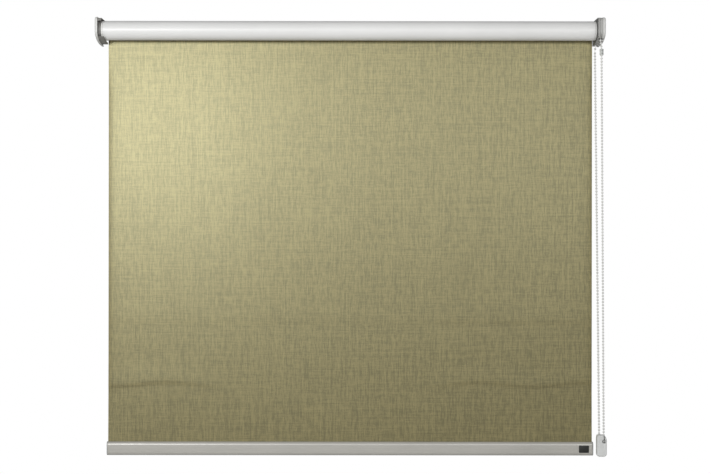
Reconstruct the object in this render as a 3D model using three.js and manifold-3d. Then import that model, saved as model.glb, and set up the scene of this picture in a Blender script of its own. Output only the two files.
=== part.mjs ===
// A chain-operated roller blind, modelled as the separate pieces it comes apart into.
//
// Frame, in millimetres: X runs along the roller and points to the control side, Y points
// to the wall, and Z points up. The origin lies on the wall, midway between the brackets,
// at the height of the roller's axis. The blind is modelled fully lowered.
import * as THREE from 'three';
import { mergeVertices } from 'three/addons/utils/BufferGeometryUtils.js';
import Module from 'manifold-3d';

const wasm = await Module();
wasm.setup();

// ---------------------------------------------------------------- driving dimensions
// General
const overallWidth = 1000.8; // across the outer faces of the two bracket covers
const gap = 0.3; // between pieces that touch
const overlap = 0.5; // joined shapes run this far into each other
const beyond = 1; // a cutting tool runs this far past what it cuts
const roundSegments = 32;
const outlineSegments = 7; // in each quarter or half turn of a drawn outline
const tubeSegments = 12; // the same, for the roller tube

// Roller
const axisToWall = 32;
const tubeRadius = 19;
const tubeWall = 1.4;
const tubeKeyWidth = 3;
const tubeKeyHeight = 2;
const collarThickness = 2.7;
const plugLength = 36;
const adaptorLength = 42;
const plugClearance = 0.4; // between a plug and the inside of the tube
const plugEndWall = 3;

// Brackets and covers
const bracketHeightAbove = 22.6;
const bracketHeightBelow = 26.5;
const bracketDepth = 62;
const topCornerRadius = 7;
const leastCornerRadius = 0.5;
const bottomSweepDepth = 50; // the bottom sweeps from the front edge back to the wall
const bottomSweepHeight = 20;
const plateThickness = 1.8;
const coverFace = 1.4;
const coverWall = 1.6;
const coverDepth = 5;
const flangeWidth = 26;
const flangeThickness = 2.4;
const flangeTrim = 4; // from the top of the cover down to the top of the flange
const flangeHeight = 33;
const slotWidth = 5.2;
const slotLength = 10;
const slotSpacing = 16;
const upperLipThickness = 1; // the lips above and below the roller's ends
const lowerLipThickness = 3;
const upperLipToFabric = 4.5; // sideways
const lowerLipToFabric = 0.5;
const lipToSheet = 3; // from the hanging cloth forward to the lips' rear ends
const lipOpening = 30; // upright, in front of the roller
const endRecess = 0.1; // bush, hub and screw end this far inside the plate's outer face

// Control unit
const chainDiameter = 4.5;
const beadPitch = 6;
const sprocketBeads = 18;
const sprocketWidth = 7.5;
const sprocketToPlate = 1.8;
const guardWall = 1.6;
const guardInset = 0.4; // the guard's outline lies this far inside the cover's
const guardToFlange = 0.8;
const guardArchThickness = 1.4;
const guardArchFrom = -8; // degrees
const guardArchTo = 188;
const guardArchToChain = 0.8;
const chainExitMargin = 0.85; // round a strand where it leaves the guard
const hubRadius = 7.9;
const hubReach = 54; // from its flange into the tube
const hubSquare = 9.4;
const hubFlangeRadius = 14;
const hubFlangeThickness = 1.1;
const screwRadius = 1.7;
const screwHeadRadius = 3.6;
const screwHeadDepth = 1.1;
const screwReach = 16; // past the hub's flange
const screwHoleReach = 20;
const screwSegments = 24;
const clipThickness = 1.2;
const clipToHubEnd = 2;
const clipGrooveDepth = 1;
const clipRise = 2; // above the hub
const clipMouth = 6;
const springWire = 1.2;
const springTurns = 4;
const springPitch = 1.6;
const springCount = 3;
const springStepsPerTurn = 14;
const drumWall = 2.2;
const drumToClip = 3;
const beadPlay = 0.4; // round the beads in the chain wheel's groove
const notchPlay = 0.6;

// Idle end
const pinRadius = 3.6;
const pinCollarRadius = 5.6;
const pinCollarThickness = 1.6;
const pinTailRadius = 2;
const pinTailLength = 14;
const pinTipChamfer = 0.8;
const pinTipRecess = 1.2;
const pinPlay = 0.4;
const pinSpringWire = 0.8;
const pinSpringTurns = 6;
const pinSpringPlay = 2; // from the pin's tail out to the middle of the wire
const pinSpringStepsPerTurn = 12;
const chamberPlay = 0.5; // round the pin's collar
const bushFlangeRadius = 11;
const bushFlangeThickness = 4;
const bushWall = 3.1;
const collarOverBush = 2.4; // the bush's flange stands this far into the idle plug's side
const cradleThickness = 2;
const cradleReach = 5.3; // from the plate
const cradleFrom = 75; // degrees
const cradleTo = 285;
const ribThickness = 1.6;
const ribToCradle = 3.4;
const ribReach = 4.8;
const ribTrim = 10; // degrees, at each end

// Fabric and bottom bar
const fabricWidth = 967;
const fabricThickness = 0.6;
const wrapFrom = 1; // degrees, where the hanging sheet meets the wrapped edge
const fabricWrapAngle = 70; // degrees, where the wrapped edge ends on the tube's rear
const tapeThickness = 0.3;
const tapeInset = 12; // degrees that the tape stays inside the wrapped edge
const tapeTrim = 4; // at each end of the roller
const barTop = -817.5;
const barHeight = 27.5;
const barDepth = 13;
const barWall = 1.2;
const barSlot = 2.4;
const endCapFace = 1.5;
const fabricToCap = 0.5;
const endCapPlug = 10;
const endCapWebDepth = 6;
const endCapWebHeight = 6;
const splineRadius = 2;
const splineToCap = 1;
const labelWidth = 20;
const labelThickness = 0.5;
const labelFromBarEnd = 9;

// Chain route
const chainExitZ = -36;
const chainDrift = 3; // the strands leave the guard this far to either side of the wheel
const driftUpper = -12; // heights between which a strand drifts sideways
const driftLower = -25;
const driftAfterLower = 1.6; // sideways, left to go at the lower of those heights
const turnRadius = 4.5;
const turnBelowTop = 22; // from the weight's top to the middle of the chain's turn
const entryAboveTop = 3;
const turnToSprocket = 7.05; // the loop's middle hangs this far outside the wheel
const turnSteps = 8; // points on each half turn
const strandSteps = 34;
const wheelChainSteps = 30;
const lowerTurnSteps = 14;

// Connector
const connectorRadius = 3.9;
const connectorLength = 12.5;
const connectorChamfer = 0.9;
const connectorPlay = 0.35;
const connectorBelowExit = 2;

// Chain weight
const weightWidth = 20;
const weightHeight = 43;
const weightDepth = 13;
const weightWall = 1.5;
const weightTop = -800;
const weightLowCorner = 6;
const weightHighCornerWidth = 2.5;
const weightHighCornerHeight = 8;
const shoulderDrop = 12;
const shoulderBow = 3;
const shoulderWidth = 6;
const shoulderLean = 0.5;
const entryPlay = 0.5;
const entryDepth = 10.5;
const keyholeRadius = 4;
const keyholeBelowTop = 12.7;
const slugSideRoom = 1;
const slugBottomRoom = 4.5;
const postPlay = 0.4;

// ---------------------------------------------------------------- derived places
const axisY = -axisToWall;
const outerX = overallWidth / 2;
const plateOuterX = outerX - coverFace - gap;
const plateInnerX = plateOuterX - plateThickness;
const hubFlangeX = plateInnerX - gap - hubFlangeThickness;
const sprocketX = plateInnerX - sprocketToPlate - sprocketWidth / 2;
const sprocketInnerX = sprocketX - sprocketWidth / 2;
const guardInnerX = sprocketInnerX - gap - guardWall;
const collarOuterX = guardInnerX - gap;
const tubeRightX = collarOuterX - collarThickness - gap;
const bushInnerX = -(plateInnerX - gap - bushFlangeThickness);
const idleCollarX = bushInnerX + bushFlangeThickness - collarOverBush;
const tubeLeftX = idleCollarX + collarThickness + gap;
const sprocketRadius = (sprocketBeads * beadPitch) / (2 * Math.PI);
const wrapInnerRadius = tubeRadius + gap + tapeThickness + gap;
const fabricY = axisY + wrapInnerRadius + fabricThickness / 2;
const barMiddleZ = barTop - barHeight / 2;
const barLength = fabricWidth + 2 * (fabricToCap + endCapFace);
const fabricEndZ = barTop - barWall - 2 * gap;
const splineZ = fabricEndZ - gap - splineRadius;
const channelFloorZ = splineZ - splineRadius - gap;

// ---------------------------------------------------------------- chain route
// The free chain hangs from the guard's two exits in two straight strands, which turn
// from lying across the wheel to lying side by side as they reach the weight.
const frontExit = new THREE.Vector3(sprocketX + chainDrift, axisY - sprocketRadius, chainExitZ);
const rearExit = new THREE.Vector3(sprocketX - chainDrift, axisY + sprocketRadius, chainExitZ);
const turnCentre = new THREE.Vector3(sprocketX + turnToSprocket, axisY, weightTop - turnBelowTop);
const entryZ = weightTop + entryAboveTop;
const frontEntry = new THREE.Vector3(turnCentre.x + turnRadius, axisY, entryZ);
const rearEntry = new THREE.Vector3(turnCentre.x - turnRadius, axisY, entryZ);

// ---------------------------------------------------------------- materials
function material(color, roughness, metalness = 0) {
  return new THREE.MeshStandardMaterial({ color, roughness, metalness });
}

const whiteTube = material(0xe6e5e1, 0.35, 0.2);
const whitePlastic = material(0xf0f0ec, 0.4);
const greyCover = material(0xbdbcb8, 0.4);
const darkGreyPlastic = material(0x7e7c77, 0.5);
const zincSteel = material(0xa8a9aa, 0.35, 1);
const springSteel = material(0x8c8f93, 0.3, 1);
const khakiFabric = material(0xa59c72, 0.9);
const paleTape = material(0xe8e4d8, 0.7);
const barGrey = material(0xa9a8a2, 0.45, 0.1);
const darkLabel = material(0x1d1f1c, 0.5);
const chainPlastic = material(0xdad9d4, 0.4);
const leadCore = material(0x6d6f72, 0.6, 1);

// ---------------------------------------------------------------- geometry helpers
const extrudeAlongX = new THREE.Matrix4().makeBasis(
  new THREE.Vector3(0, 1, 0),
  new THREE.Vector3(0, 0, 1),
  new THREE.Vector3(1, 0, 0),
);

/** Extrudes a shape drawn in (Y, Z) from x0 to x1. */
function prismX(shape, x0, x1, curveSegments = outlineSegments) {
  const settings = { depth: x1 - x0, bevelEnabled: false, curveSegments };
  const geometry = new THREE.ExtrudeGeometry(shape, settings);
  return geometry.applyMatrix4(extrudeAlongX).translate(x0, 0, 0);
}

/** Extrudes a shape drawn in (X, Z) from y0 to y1. */
function prismY(shape, y0, y1, curveSegments = outlineSegments) {
  const settings = { depth: y1 - y0, bevelEnabled: false, curveSegments };
  const geometry = new THREE.ExtrudeGeometry(shape, settings);
  return geometry.rotateX(Math.PI / 2).translate(0, y1, 0);
}

/** Turns a profile of [x, radius] points round the roller's axis. */
function turned(profile, segments = roundSegments) {
  const points = profile.map(([x, radius]) => new THREE.Vector2(radius, x));
  points.push(points[0].clone());
  const geometry = new THREE.LatheGeometry(points, segments);
  return geometry.rotateZ(-Math.PI / 2).translate(0, axisY, 0);
}

/** A ring round the roller's axis, or a disc where the inner radius is 0. */
function ring(x0, x1, outer, inner = 0, segments = roundSegments) {
  return turned([[x0, inner], [x0, outer], [x1, outer], [x1, inner]], segments);
}

function box(x0, x1, y0, y1, z0, z1) {
  const geometry = new THREE.BoxGeometry(x1 - x0, y1 - y0, z1 - z0);
  return geometry.translate((x0 + x1) / 2, (y0 + y1) / 2, (z0 + z1) / 2);
}

function toSolid(geometry) {
  const bare = geometry.clone();
  bare.deleteAttribute('normal');
  bare.deleteAttribute('uv');
  const merged = mergeVertices(bare, 1e-4);
  const vertProperties = new Float32Array(merged.attributes.position.array);
  const triVerts = new Uint32Array(merged.index.array);
  return new wasm.Manifold(new wasm.Mesh({ numProp: 3, vertProperties, triVerts }));
}

function toGeometry(solid) {
  const mesh = solid.getMesh();
  const geometry = new THREE.BufferGeometry();
  geometry.setAttribute('position', new THREE.BufferAttribute(mesh.vertProperties, 3));
  geometry.setIndex(new THREE.BufferAttribute(mesh.triVerts, 1));
  geometry.computeVertexNormals();
  return geometry;
}

function join(...geometries) {
  return toGeometry(geometries.map(toSolid).reduce((a, b) => a.add(b)));
}

function cut(geometry, ...tools) {
  return toGeometry(tools.map(toSolid).reduce((a, b) => a.subtract(b), toSolid(geometry)));
}

function common(a, b) {
  return toGeometry(toSolid(a).intersect(toSolid(b)));
}

const blind = new THREE.Group();

function add(name, geometry, finish) {
  const mesh = new THREE.Mesh(geometry, finish);
  mesh.name = name;
  blind.add(mesh);
  return mesh;
}

// ---------------------------------------------------------------- outlines
/**
 * The side outline shared by plates, covers and guard, drawn in (Y, Z): square at the
 * wall, a small radius at the top front and a long elliptical sweep at the bottom front.
 */
function bracketOutline(inset, rearY = 0) {
  const front = -bracketDepth + inset;
  const top = bracketHeightAbove - inset;
  const bottom = -bracketHeightBelow + inset;
  const small = Math.max(topCornerRadius - inset, leastCornerRadius);
  const sweepDepth = bottomSweepDepth - inset;
  const sweepHeight = bottomSweepHeight - inset;
  const shape = new THREE.Shape();
  shape.moveTo(rearY, bottom);
  shape.lineTo(rearY, top);
  shape.lineTo(front + small, top);
  shape.absarc(front + small, top - small, small, Math.PI / 2, Math.PI, false);
  shape.lineTo(front, bottom + sweepHeight);
  shape.absellipse(
    front + sweepDepth, bottom + sweepHeight, sweepDepth, sweepHeight, Math.PI, Math.PI * 1.5, false,
  );
  shape.closePath();
  return shape;
}

/** An upright slot with round ends, centred at (x, z), drawn in (X, Z). */
function uprightSlot(x, z) {
  const radius = slotWidth / 2;
  const reach = slotLength / 2 - radius;
  const shape = new THREE.Shape();
  shape.absarc(x, z + reach, radius, 0, Math.PI, false);
  shape.absarc(x, z - reach, radius, Math.PI, Math.PI * 2, false);
  return shape;
}

/** An arched rib round the roller's axis, from one angle to another, in (Y, Z). */
function archedRib(inner, outer, fromDegrees, toDegrees) {
  const from = THREE.MathUtils.degToRad(fromDegrees);
  const to = THREE.MathUtils.degToRad(toDegrees);
  const shape = new THREE.Shape();
  shape.absarc(axisY, 0, outer, from, to, false);
  shape.absarc(axisY, 0, inner, to, from, true);
  return shape;
}

// ---------------------------------------------------------------- brackets and covers
const flangeTop = bracketHeightAbove - flangeTrim;
const flangeBottom = flangeTop - flangeHeight;
const flangeMiddleZ = (flangeTop + flangeBottom) / 2;
const flangeMiddleX = plateInnerX - flangeWidth / 2;
const plateInset = coverWall + gap;

/** side is 1 on the control side and -1 on the idle side. */
function bracketBlank(side) {
  const x0 = side * plateInnerX;
  const x1 = side * plateOuterX;
  const plate = prismX(bracketOutline(plateInset), Math.min(x0, x1), Math.max(x0, x1));
  const flangeEnd = side * (plateInnerX - flangeWidth);
  const flange = box(
    Math.min(flangeEnd, x1), Math.max(flangeEnd, x1),
    -flangeThickness, 0, flangeBottom, flangeTop,
  );
  const slots = [-1, 1].map((end) => prismY(
    uprightSlot(side * flangeMiddleX, flangeMiddleZ + (end * slotSpacing) / 2),
    -flangeThickness - beyond, beyond,
  ));
  return cut(join(plate, flange), ...slots);
}

/** The snap-on cover: a face and a rim along the top, front and bottom. */
function coverBlank(side) {
  const rimX = side * (outerX - coverDepth);
  const faceX = side * (outerX - coverFace);
  const beyondX = side * (outerX - coverDepth - beyond);
  const shell = prismX(
    bracketOutline(0), Math.min(rimX, side * outerX), Math.max(rimX, side * outerX),
  );
  const inside = prismX(
    bracketOutline(coverWall, beyond), Math.min(faceX, beyondX), Math.max(faceX, beyondX),
  );
  return cut(shell, inside);
}

/** A lip along the outline, above or below the roller, that ends short of the cloth. */
function rollerLip(side, inset, rootX, toFabric, thickness, z0, z1) {
  const tipX = fabricWidth / 2 + toFabric;
  const x0 = Math.min(side * tipX, side * rootX);
  const x1 = Math.max(side * tipX, side * rootX);
  const band = cut(
    prismX(bracketOutline(inset), x0, x1),
    prismX(bracketOutline(inset + thickness, beyond), x0 - beyond, x1 + beyond),
  );
  return common(band, box(x0, x1, -bracketDepth, fabricY - lipToSheet, z0, z1));
}

function rollerLips(side, inset, rootX) {
  const half = lipOpening / 2;
  return [
    rollerLip(side, inset, rootX, upperLipToFabric, upperLipThickness, half, bracketHeightAbove),
    rollerLip(side, inset, rootX, lowerLipToFabric, lowerLipThickness, -bracketHeightBelow, -half),
  ];
}

// Idle side
const pinBore = pinRadius + pinPlay;
const bushHoleRadius = pinBore + bushWall - gap;
const cradleOuter = bracketHeightAbove - plateInset - gap;
const cradleInner = cradleOuter - cradleThickness;
const ribOuter = cradleInner - ribToCradle;
const idleRootX = -plateInnerX - overlap;
const cradle = prismX(
  archedRib(cradleInner, cradleOuter, cradleFrom, cradleTo), idleRootX, -plateInnerX + cradleReach,
);
const innerRib = prismX(
  archedRib(ribOuter - ribThickness, ribOuter, cradleFrom + ribTrim, cradleTo - ribTrim),
  idleRootX, -plateInnerX + ribReach,
);
add(
  'left_bracket',
  cut(
    join(
      bracketBlank(-1), cradle, innerRib,
      ...rollerLips(-1, plateInset, plateInnerX + overlap),
    ),
    ring(-plateOuterX - beyond, -plateInnerX + beyond, bushHoleRadius),
  ),
  darkGreyPlastic,
);
add('left_bracket_cover', coverBlank(-1), greyCover);

add(
  'idle_bush',
  turned([
    [-plateOuterX + endRecess, pinBore],
    [-plateOuterX + endRecess, bushHoleRadius - gap],
    [-plateInnerX + gap, bushHoleRadius - gap],
    [-plateInnerX + gap, bushFlangeRadius],
    [bushInnerX, bushFlangeRadius],
    [bushInnerX, pinBore],
  ]),
  whitePlastic,
);

// Control side
const squareHalf = hubSquare / 2;
add(
  'right_bracket',
  cut(
    bracketBlank(1),
    box(
      plateInnerX - beyond, plateOuterX + beyond,
      axisY - squareHalf - gap, axisY + squareHalf + gap, -squareHalf - gap, squareHalf + gap,
    ),
  ),
  zincSteel,
);

const exitHalf = chainDiameter / 2 + chainExitMargin;

/** The tool that opens the bottom of guard and cover where a strand leaves. */
function chainExit(point) {
  return box(
    Math.min(point.x - chainDrift / 2, sprocketX) - exitHalf,
    Math.max(point.x + chainDrift / 2, sprocketX) + exitHalf,
    point.y - exitHalf, point.y + exitHalf,
    chainExitZ - beyond, chainDiameter - sprocketRadius,
  );
}

add(
  'right_bracket_cover',
  cut(coverBlank(1), chainExit(frontExit)),
  greyCover,
);

// ---------------------------------------------------------------- control unit
const guardRearY = -flangeThickness - guardToFlange;
const guardOuterX = hubFlangeX - gap;
const chainOuterRadius = sprocketRadius + chainDiameter / 2;
const guardArchInner = chainOuterRadius + guardArchToChain;
const drumInner = hubRadius + gap + springWire + gap;
const drumOuter = drumInner + drumWall;
const guardShell = cut(
  prismX(bracketOutline(guardInset, guardRearY), guardInnerX, guardOuterX),
  prismX(
    bracketOutline(guardInset + guardWall, guardRearY - guardWall),
    guardInnerX + guardWall, guardOuterX + beyond,
  ),
);
const guardArch = prismX(
  archedRib(guardArchInner, guardArchInner + guardArchThickness, guardArchFrom, guardArchTo),
  guardInnerX + guardWall / 2, guardOuterX - beyond,
);
add(
  'chain_guard',
  cut(
    join(guardShell, guardArch, ...rollerLips(1, guardInset, guardInnerX + overlap)),
    ring(guardInnerX - beyond, guardInnerX + guardWall + beyond, drumOuter + 2 * gap),
    chainExit(frontExit),
    chainExit(rearExit),
  ),
  greyCover,
);

const hubEndX = hubFlangeX - hubReach;
const clipGrooveX = hubEndX + clipToHubEnd;
const clipGrooveEndX = clipGrooveX + clipThickness + 2 * gap;
const clipGrooveRadius = hubRadius - clipGrooveDepth;
const hubOuterX = plateOuterX - endRecess;
const hubSpindle = turned([
  [hubEndX, screwRadius + gap],
  [hubEndX, hubRadius],
  [clipGrooveX, hubRadius],
  [clipGrooveX, clipGrooveRadius],
  [clipGrooveEndX, clipGrooveRadius],
  [clipGrooveEndX, hubRadius],
  [hubFlangeX, hubRadius],
  [hubFlangeX, hubFlangeRadius],
  [hubFlangeX + hubFlangeThickness, hubFlangeRadius],
  [hubFlangeX + hubFlangeThickness, screwRadius + gap],
]);
const hubBoss = box(
  hubFlangeX + hubFlangeThickness / 2, hubOuterX,
  axisY - squareHalf, axisY + squareHalf, -squareHalf, squareHalf,
);
add(
  'drive_hub',
  cut(
    join(hubSpindle, hubBoss),
    ring(hubFlangeX - screwHoleReach, hubOuterX + beyond, screwRadius + gap),
    ring(hubOuterX - screwHeadDepth - gap, hubOuterX + beyond, screwHeadRadius + gap),
  ),
  darkGreyPlastic,
);
add(
  'hub_screw',
  turned([
    [hubFlangeX - screwReach, 0],
    [hubFlangeX - screwReach, screwRadius],
    [hubOuterX - screwHeadDepth, screwRadius],
    [hubOuterX - screwHeadDepth, screwHeadRadius],
    [hubOuterX, screwHeadRadius],
    [hubOuterX, 0],
  ], screwSegments),
  zincSteel,
);

const clipOuter = hubRadius + clipRise;
add(
  'hub_clip',
  cut(
    ring(clipGrooveX + gap, clipGrooveX + gap + clipThickness, clipOuter, clipGrooveRadius + gap),
    box(
      clipGrooveX - beyond, clipGrooveEndX + beyond,
      axisY - clipMouth / 2, axisY + clipMouth / 2, -clipOuter - beyond, 0,
    ),
  ),
  springSteel,
);

const wireSegments = 3;

/** A round-wire helix about the roller's axis. */
function helix(startX, turns, pitch, meanRadius, wireRadius, stepsPerTurn) {
  const points = [];
  for (let i = 0; i <= turns * stepsPerTurn; i += 1) {
    const angle = (i / stepsPerTurn) * Math.PI * 2;
    points.push(new THREE.Vector3(
      startX + (i / stepsPerTurn) * pitch,
      axisY + meanRadius * Math.cos(angle),
      meanRadius * Math.sin(angle),
    ));
  }
  const section = new THREE.Shape();
  section.absarc(0, 0, wireRadius, 0, Math.PI * 2, false);
  const settings = {
    extrudePath: new THREE.CatmullRomCurve3(points),
    steps: turns * stepsPerTurn,
    curveSegments: wireSegments,
    bevelEnabled: false,
  };
  return new THREE.ExtrudeGeometry(section, settings);
}

const springLength = springTurns * springPitch + springWire;
const drumEndX = clipGrooveX + clipThickness + drumToClip;
const springRoom = sprocketInnerX - drumEndX;
for (let i = 0; i < springCount; i += 1) {
  const startX = drumEndX + (springRoom * (i + 0.5)) / springCount - springLength / 2;
  const meanRadius = hubRadius + gap + springWire / 2;
  add(
    `brake_spring_${i + 1}`,
    helix(startX, springTurns, springPitch, meanRadius, springWire / 2, springStepsPerTurn),
    springSteel,
  );
}

// Chain wheel: two notched flanges, a groove for the beads and the drum on the brake springs
const grooveHalf = chainDiameter / 2 + beadPlay;
const grooveFloor = sprocketRadius - chainDiameter / 2 - beadPlay;
const wheelRim = sprocketRadius - beadPlay;
const wheelBlank = turned([
  [drumEndX, drumInner],
  [drumEndX, drumOuter],
  [sprocketInnerX, drumOuter],
  [sprocketInnerX, wheelRim],
  [sprocketX - grooveHalf, wheelRim],
  [sprocketX - grooveHalf, grooveFloor],
  [sprocketX + grooveHalf, grooveFloor],
  [sprocketX + grooveHalf, wheelRim],
  [sprocketX + sprocketWidth / 2, wheelRim],
  [sprocketX + sprocketWidth / 2, drumInner],
], sprocketBeads * 2);
const wheelNotches = [];
for (let i = 0; i < sprocketBeads; i += 1) {
  const angle = (i / sprocketBeads) * Math.PI * 2;
  const notch = new THREE.SphereGeometry(chainDiameter / 2 + notchPlay, 6, 4);
  notch.translate(
    sprocketX, axisY + sprocketRadius * Math.cos(angle), sprocketRadius * Math.sin(angle),
  );
  wheelNotches.push(notch);
}
add('chain_wheel', cut(wheelBlank, ...wheelNotches), darkGreyPlastic);

// ---------------------------------------------------------------- roller
const tubeInner = tubeRadius - tubeWall;
const tubeKeyAngles = [45, 135, 225, 315];

/** A bar along the roller at an angle round it, from one radius to another. */
function keyBar(angleDegrees, width, innerRadius, outerRadius, x0, x1) {
  const key = box(x0, x1, innerRadius, outerRadius, -width / 2, width / 2);
  key.rotateX(THREE.MathUtils.degToRad(angleDegrees));
  return key.translate(0, axisY, 0);
}

/** The tube's section in (Y, Z): a round wall with four square keys on the inside. */
function tubeSection() {
  const shape = new THREE.Shape();
  shape.absarc(axisY, 0, tubeRadius, 0, Math.PI * 2, false);
  const bore = new THREE.Path();
  const keyTip = tubeInner - tubeKeyHeight;
  const rootHalf = Math.asin(tubeKeyWidth / 2 / tubeInner);
  const tipHalf = Math.asin(tubeKeyWidth / 2 / keyTip);
  const firstRoot = THREE.MathUtils.degToRad(tubeKeyAngles[0]) - rootHalf;
  bore.moveTo(axisY + tubeInner * Math.cos(firstRoot), tubeInner * Math.sin(firstRoot));
  tubeKeyAngles.map(THREE.MathUtils.degToRad).forEach((angle) => {
    for (const half of [-tipHalf, tipHalf]) {
      bore.lineTo(axisY + keyTip * Math.cos(angle + half), keyTip * Math.sin(angle + half));
    }
    bore.absarc(axisY, 0, tubeInner, angle + rootHalf, angle + Math.PI / 2 - rootHalf, false);
  });
  shape.holes.push(bore);
  return shape;
}

add('roller_tube', prismX(tubeSection(), tubeLeftX, tubeRightX, tubeSegments), whiteTube);

const plugRadius = tubeInner - plugClearance;

/** The slots that let a plug slide over the tube's four inner keys. */
function keySlots(x0, x1) {
  return tubeKeyAngles.map((angle) => keyBar(
    angle, tubeKeyWidth + 2 * gap, tubeInner - tubeKeyHeight - gap, tubeRadius + beyond, x0, x1,
  ));
}

const springChamber = pinCollarRadius + chamberPlay;
const chamberStartX = idleCollarX + collarThickness;
const idlePlugEndX = tubeLeftX + plugLength;
const chamberEndX = idlePlugEndX - plugEndWall;
add(
  'idle_end_plug',
  cut(
    turned([
      [idleCollarX, pinBore],
      [idleCollarX, tubeRadius],
      [idleCollarX + collarThickness, tubeRadius],
      [idleCollarX + collarThickness, plugRadius],
      [idlePlugEndX, plugRadius],
      [idlePlugEndX, 0],
      [chamberEndX, 0],
      [chamberEndX, springChamber],
      [chamberStartX, springChamber],
      [chamberStartX, pinBore],
    ]),
    ...keySlots(tubeLeftX - gap / 2, idlePlugEndX + beyond),
  ),
  whitePlastic,
);

const pinCollarX = chamberStartX + gap;
const pinTailX = pinCollarX + pinCollarThickness;
const pinTipX = -plateOuterX + pinTipRecess;
add(
  'idle_pin',
  turned([
    [pinTipX, 0],
    [pinTipX, pinRadius - pinTipChamfer],
    [pinTipX + pinTipChamfer, pinRadius],
    [pinCollarX, pinRadius],
    [pinCollarX, pinCollarRadius],
    [pinTailX, pinCollarRadius],
    [pinTailX, pinTailRadius],
    [pinTailX + pinTailLength, pinTailRadius],
    [pinTailX + pinTailLength, 0],
  ]),
  zincSteel,
);

const pinSpringStartX = pinTailX + gap + pinSpringWire / 2;
const pinSpringEndX = chamberEndX - gap - pinSpringWire / 2;
add(
  'pin_spring',
  helix(
    pinSpringStartX, pinSpringTurns, (pinSpringEndX - pinSpringStartX) / pinSpringTurns,
    pinTailRadius + pinSpringPlay, pinSpringWire / 2, pinSpringStepsPerTurn,
  ),
  springSteel,
);

const adaptorInner = drumOuter + gap;
const adaptorEndX = tubeRightX - adaptorLength;
add(
  'drive_adaptor',
  cut(
    turned([
      [adaptorEndX, adaptorInner],
      [adaptorEndX, plugRadius],
      [tubeRightX + gap, plugRadius],
      [tubeRightX + gap, tubeRadius],
      [collarOuterX, tubeRadius],
      [collarOuterX, adaptorInner],
    ]),
    ...keySlots(adaptorEndX - beyond, tubeRightX + gap / 2),
  ),
  whitePlastic,
);

// ---------------------------------------------------------------- fabric
const tapeInner = tubeRadius + gap;
add(
  'fixing_tape',
  prismX(
    archedRib(tapeInner, tapeInner + tapeThickness, tapeInset, fabricWrapAngle - tapeInset),
    -fabricWidth / 2 + tapeTrim, fabricWidth / 2 - tapeTrim,
  ),
  paleTape,
);
add(
  'fabric_top_edge',
  prismX(
    archedRib(wrapInnerRadius, wrapInnerRadius + fabricThickness, wrapFrom, fabricWrapAngle),
    -fabricWidth / 2, fabricWidth / 2, tubeSegments,
  ),
  khakiFabric,
);
add(
  'fabric_sheet',
  box(
    -fabricWidth / 2, fabricWidth / 2,
    fabricY - fabricThickness / 2, fabricY + fabricThickness / 2, fabricEndZ, 0,
  ),
  khakiFabric,
);

// ---------------------------------------------------------------- bottom bar
/** The bar's flat-sided oval in (Y, Z), drawn smaller by the inset. */
function barOval(inset) {
  const radius = barDepth / 2 - inset;
  const reach = barHeight / 2 - barDepth / 2;
  const shape = new THREE.Shape();
  shape.absarc(fabricY, barMiddleZ + reach, radius, 0, Math.PI, false);
  shape.absarc(fabricY, barMiddleZ - reach, radius, Math.PI, Math.PI * 2, false);
  return shape;
}

const barEndX = barLength / 2 - endCapFace - gap;
const barFloor = box(
  -barEndX, barEndX,
  fabricY - barDepth / 2 + barWall / 2, fabricY + barDepth / 2 - barWall / 2,
  channelFloorZ - barWall, channelFloorZ,
);
add(
  'bottom_bar_profile',
  cut(
    join(
      cut(
        prismX(barOval(0), -barEndX, barEndX),
        prismX(barOval(barWall), -barEndX - beyond, barEndX + beyond),
      ),
      barFloor,
    ),
    box(
      -barEndX - beyond, barEndX + beyond,
      fabricY - barSlot / 2, fabricY + barSlot / 2, barTop - 2 * barWall, barTop + beyond,
    ),
  ),
  barGrey,
);

const splineLength = 2 * (barEndX - endCapPlug - splineToCap);
const spline = new THREE.CylinderGeometry(
  splineRadius, splineRadius, splineLength, roundSegments / 2,
);
spline.rotateZ(Math.PI / 2).translate(0, fabricY, splineZ);
add('fabric_spline', spline, whitePlastic);

/** An end cap: the oval face outside, and a tongue that fills the chamber below the channel. */
function endCap(side) {
  const innerX = side * (barEndX + gap);
  const edgeX = side * (barLength / 2);
  const tongueX = side * (barEndX - endCapPlug);
  const face = prismX(barOval(0), Math.min(innerX, edgeX), Math.max(innerX, edgeX));
  const oval = prismX(barOval(barWall + gap), Math.min(tongueX, innerX), Math.max(tongueX, innerX));
  const chamber = box(
    Math.min(tongueX, innerX) - beyond, Math.max(tongueX, innerX) + beyond,
    fabricY - barDepth, fabricY + barDepth, barTop - barHeight, channelFloorZ - barWall - gap,
  );
  const web = box(
    Math.min(tongueX, edgeX), Math.max(tongueX, edgeX),
    fabricY - endCapWebDepth / 2, fabricY + endCapWebDepth / 2,
    barMiddleZ - endCapWebHeight, barMiddleZ,
  );
  return join(face, common(oval, chamber), web);
}

add('bar_end_cap_left', endCap(-1), greyCover);
add('bar_end_cap_right', endCap(1), greyCover);

const labelFrontY = fabricY - barDepth / 2 - gap - labelThickness;
const labelHalfZ = barHeight / 2 - barDepth / 2;
add(
  'blank_tag',
  box(
    barLength / 2 - labelFromBarEnd - labelWidth, barLength / 2 - labelFromBarEnd,
    labelFrontY, labelFrontY + labelThickness, barMiddleZ - labelHalfZ, barMiddleZ + labelHalfZ,
  ),
  darkLabel,
);

// ---------------------------------------------------------------- chain
const chainSegments = 4;

/** A plain round tube along a path. */
function tubeAlong(path, steps) {
  const section = new THREE.Shape();
  section.absarc(0, 0, chainDiameter / 2, 0, Math.PI * 2, false);
  const settings = {
    extrudePath: path, steps, curveSegments: chainSegments, bevelEnabled: false,
  };
  return new THREE.ExtrudeGeometry(section, settings);
}

/** A point on the straight line between two points, a length along it from the first. */
function along(from, to, length) {
  return from.clone().add(to.clone().sub(from).setLength(length));
}

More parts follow.
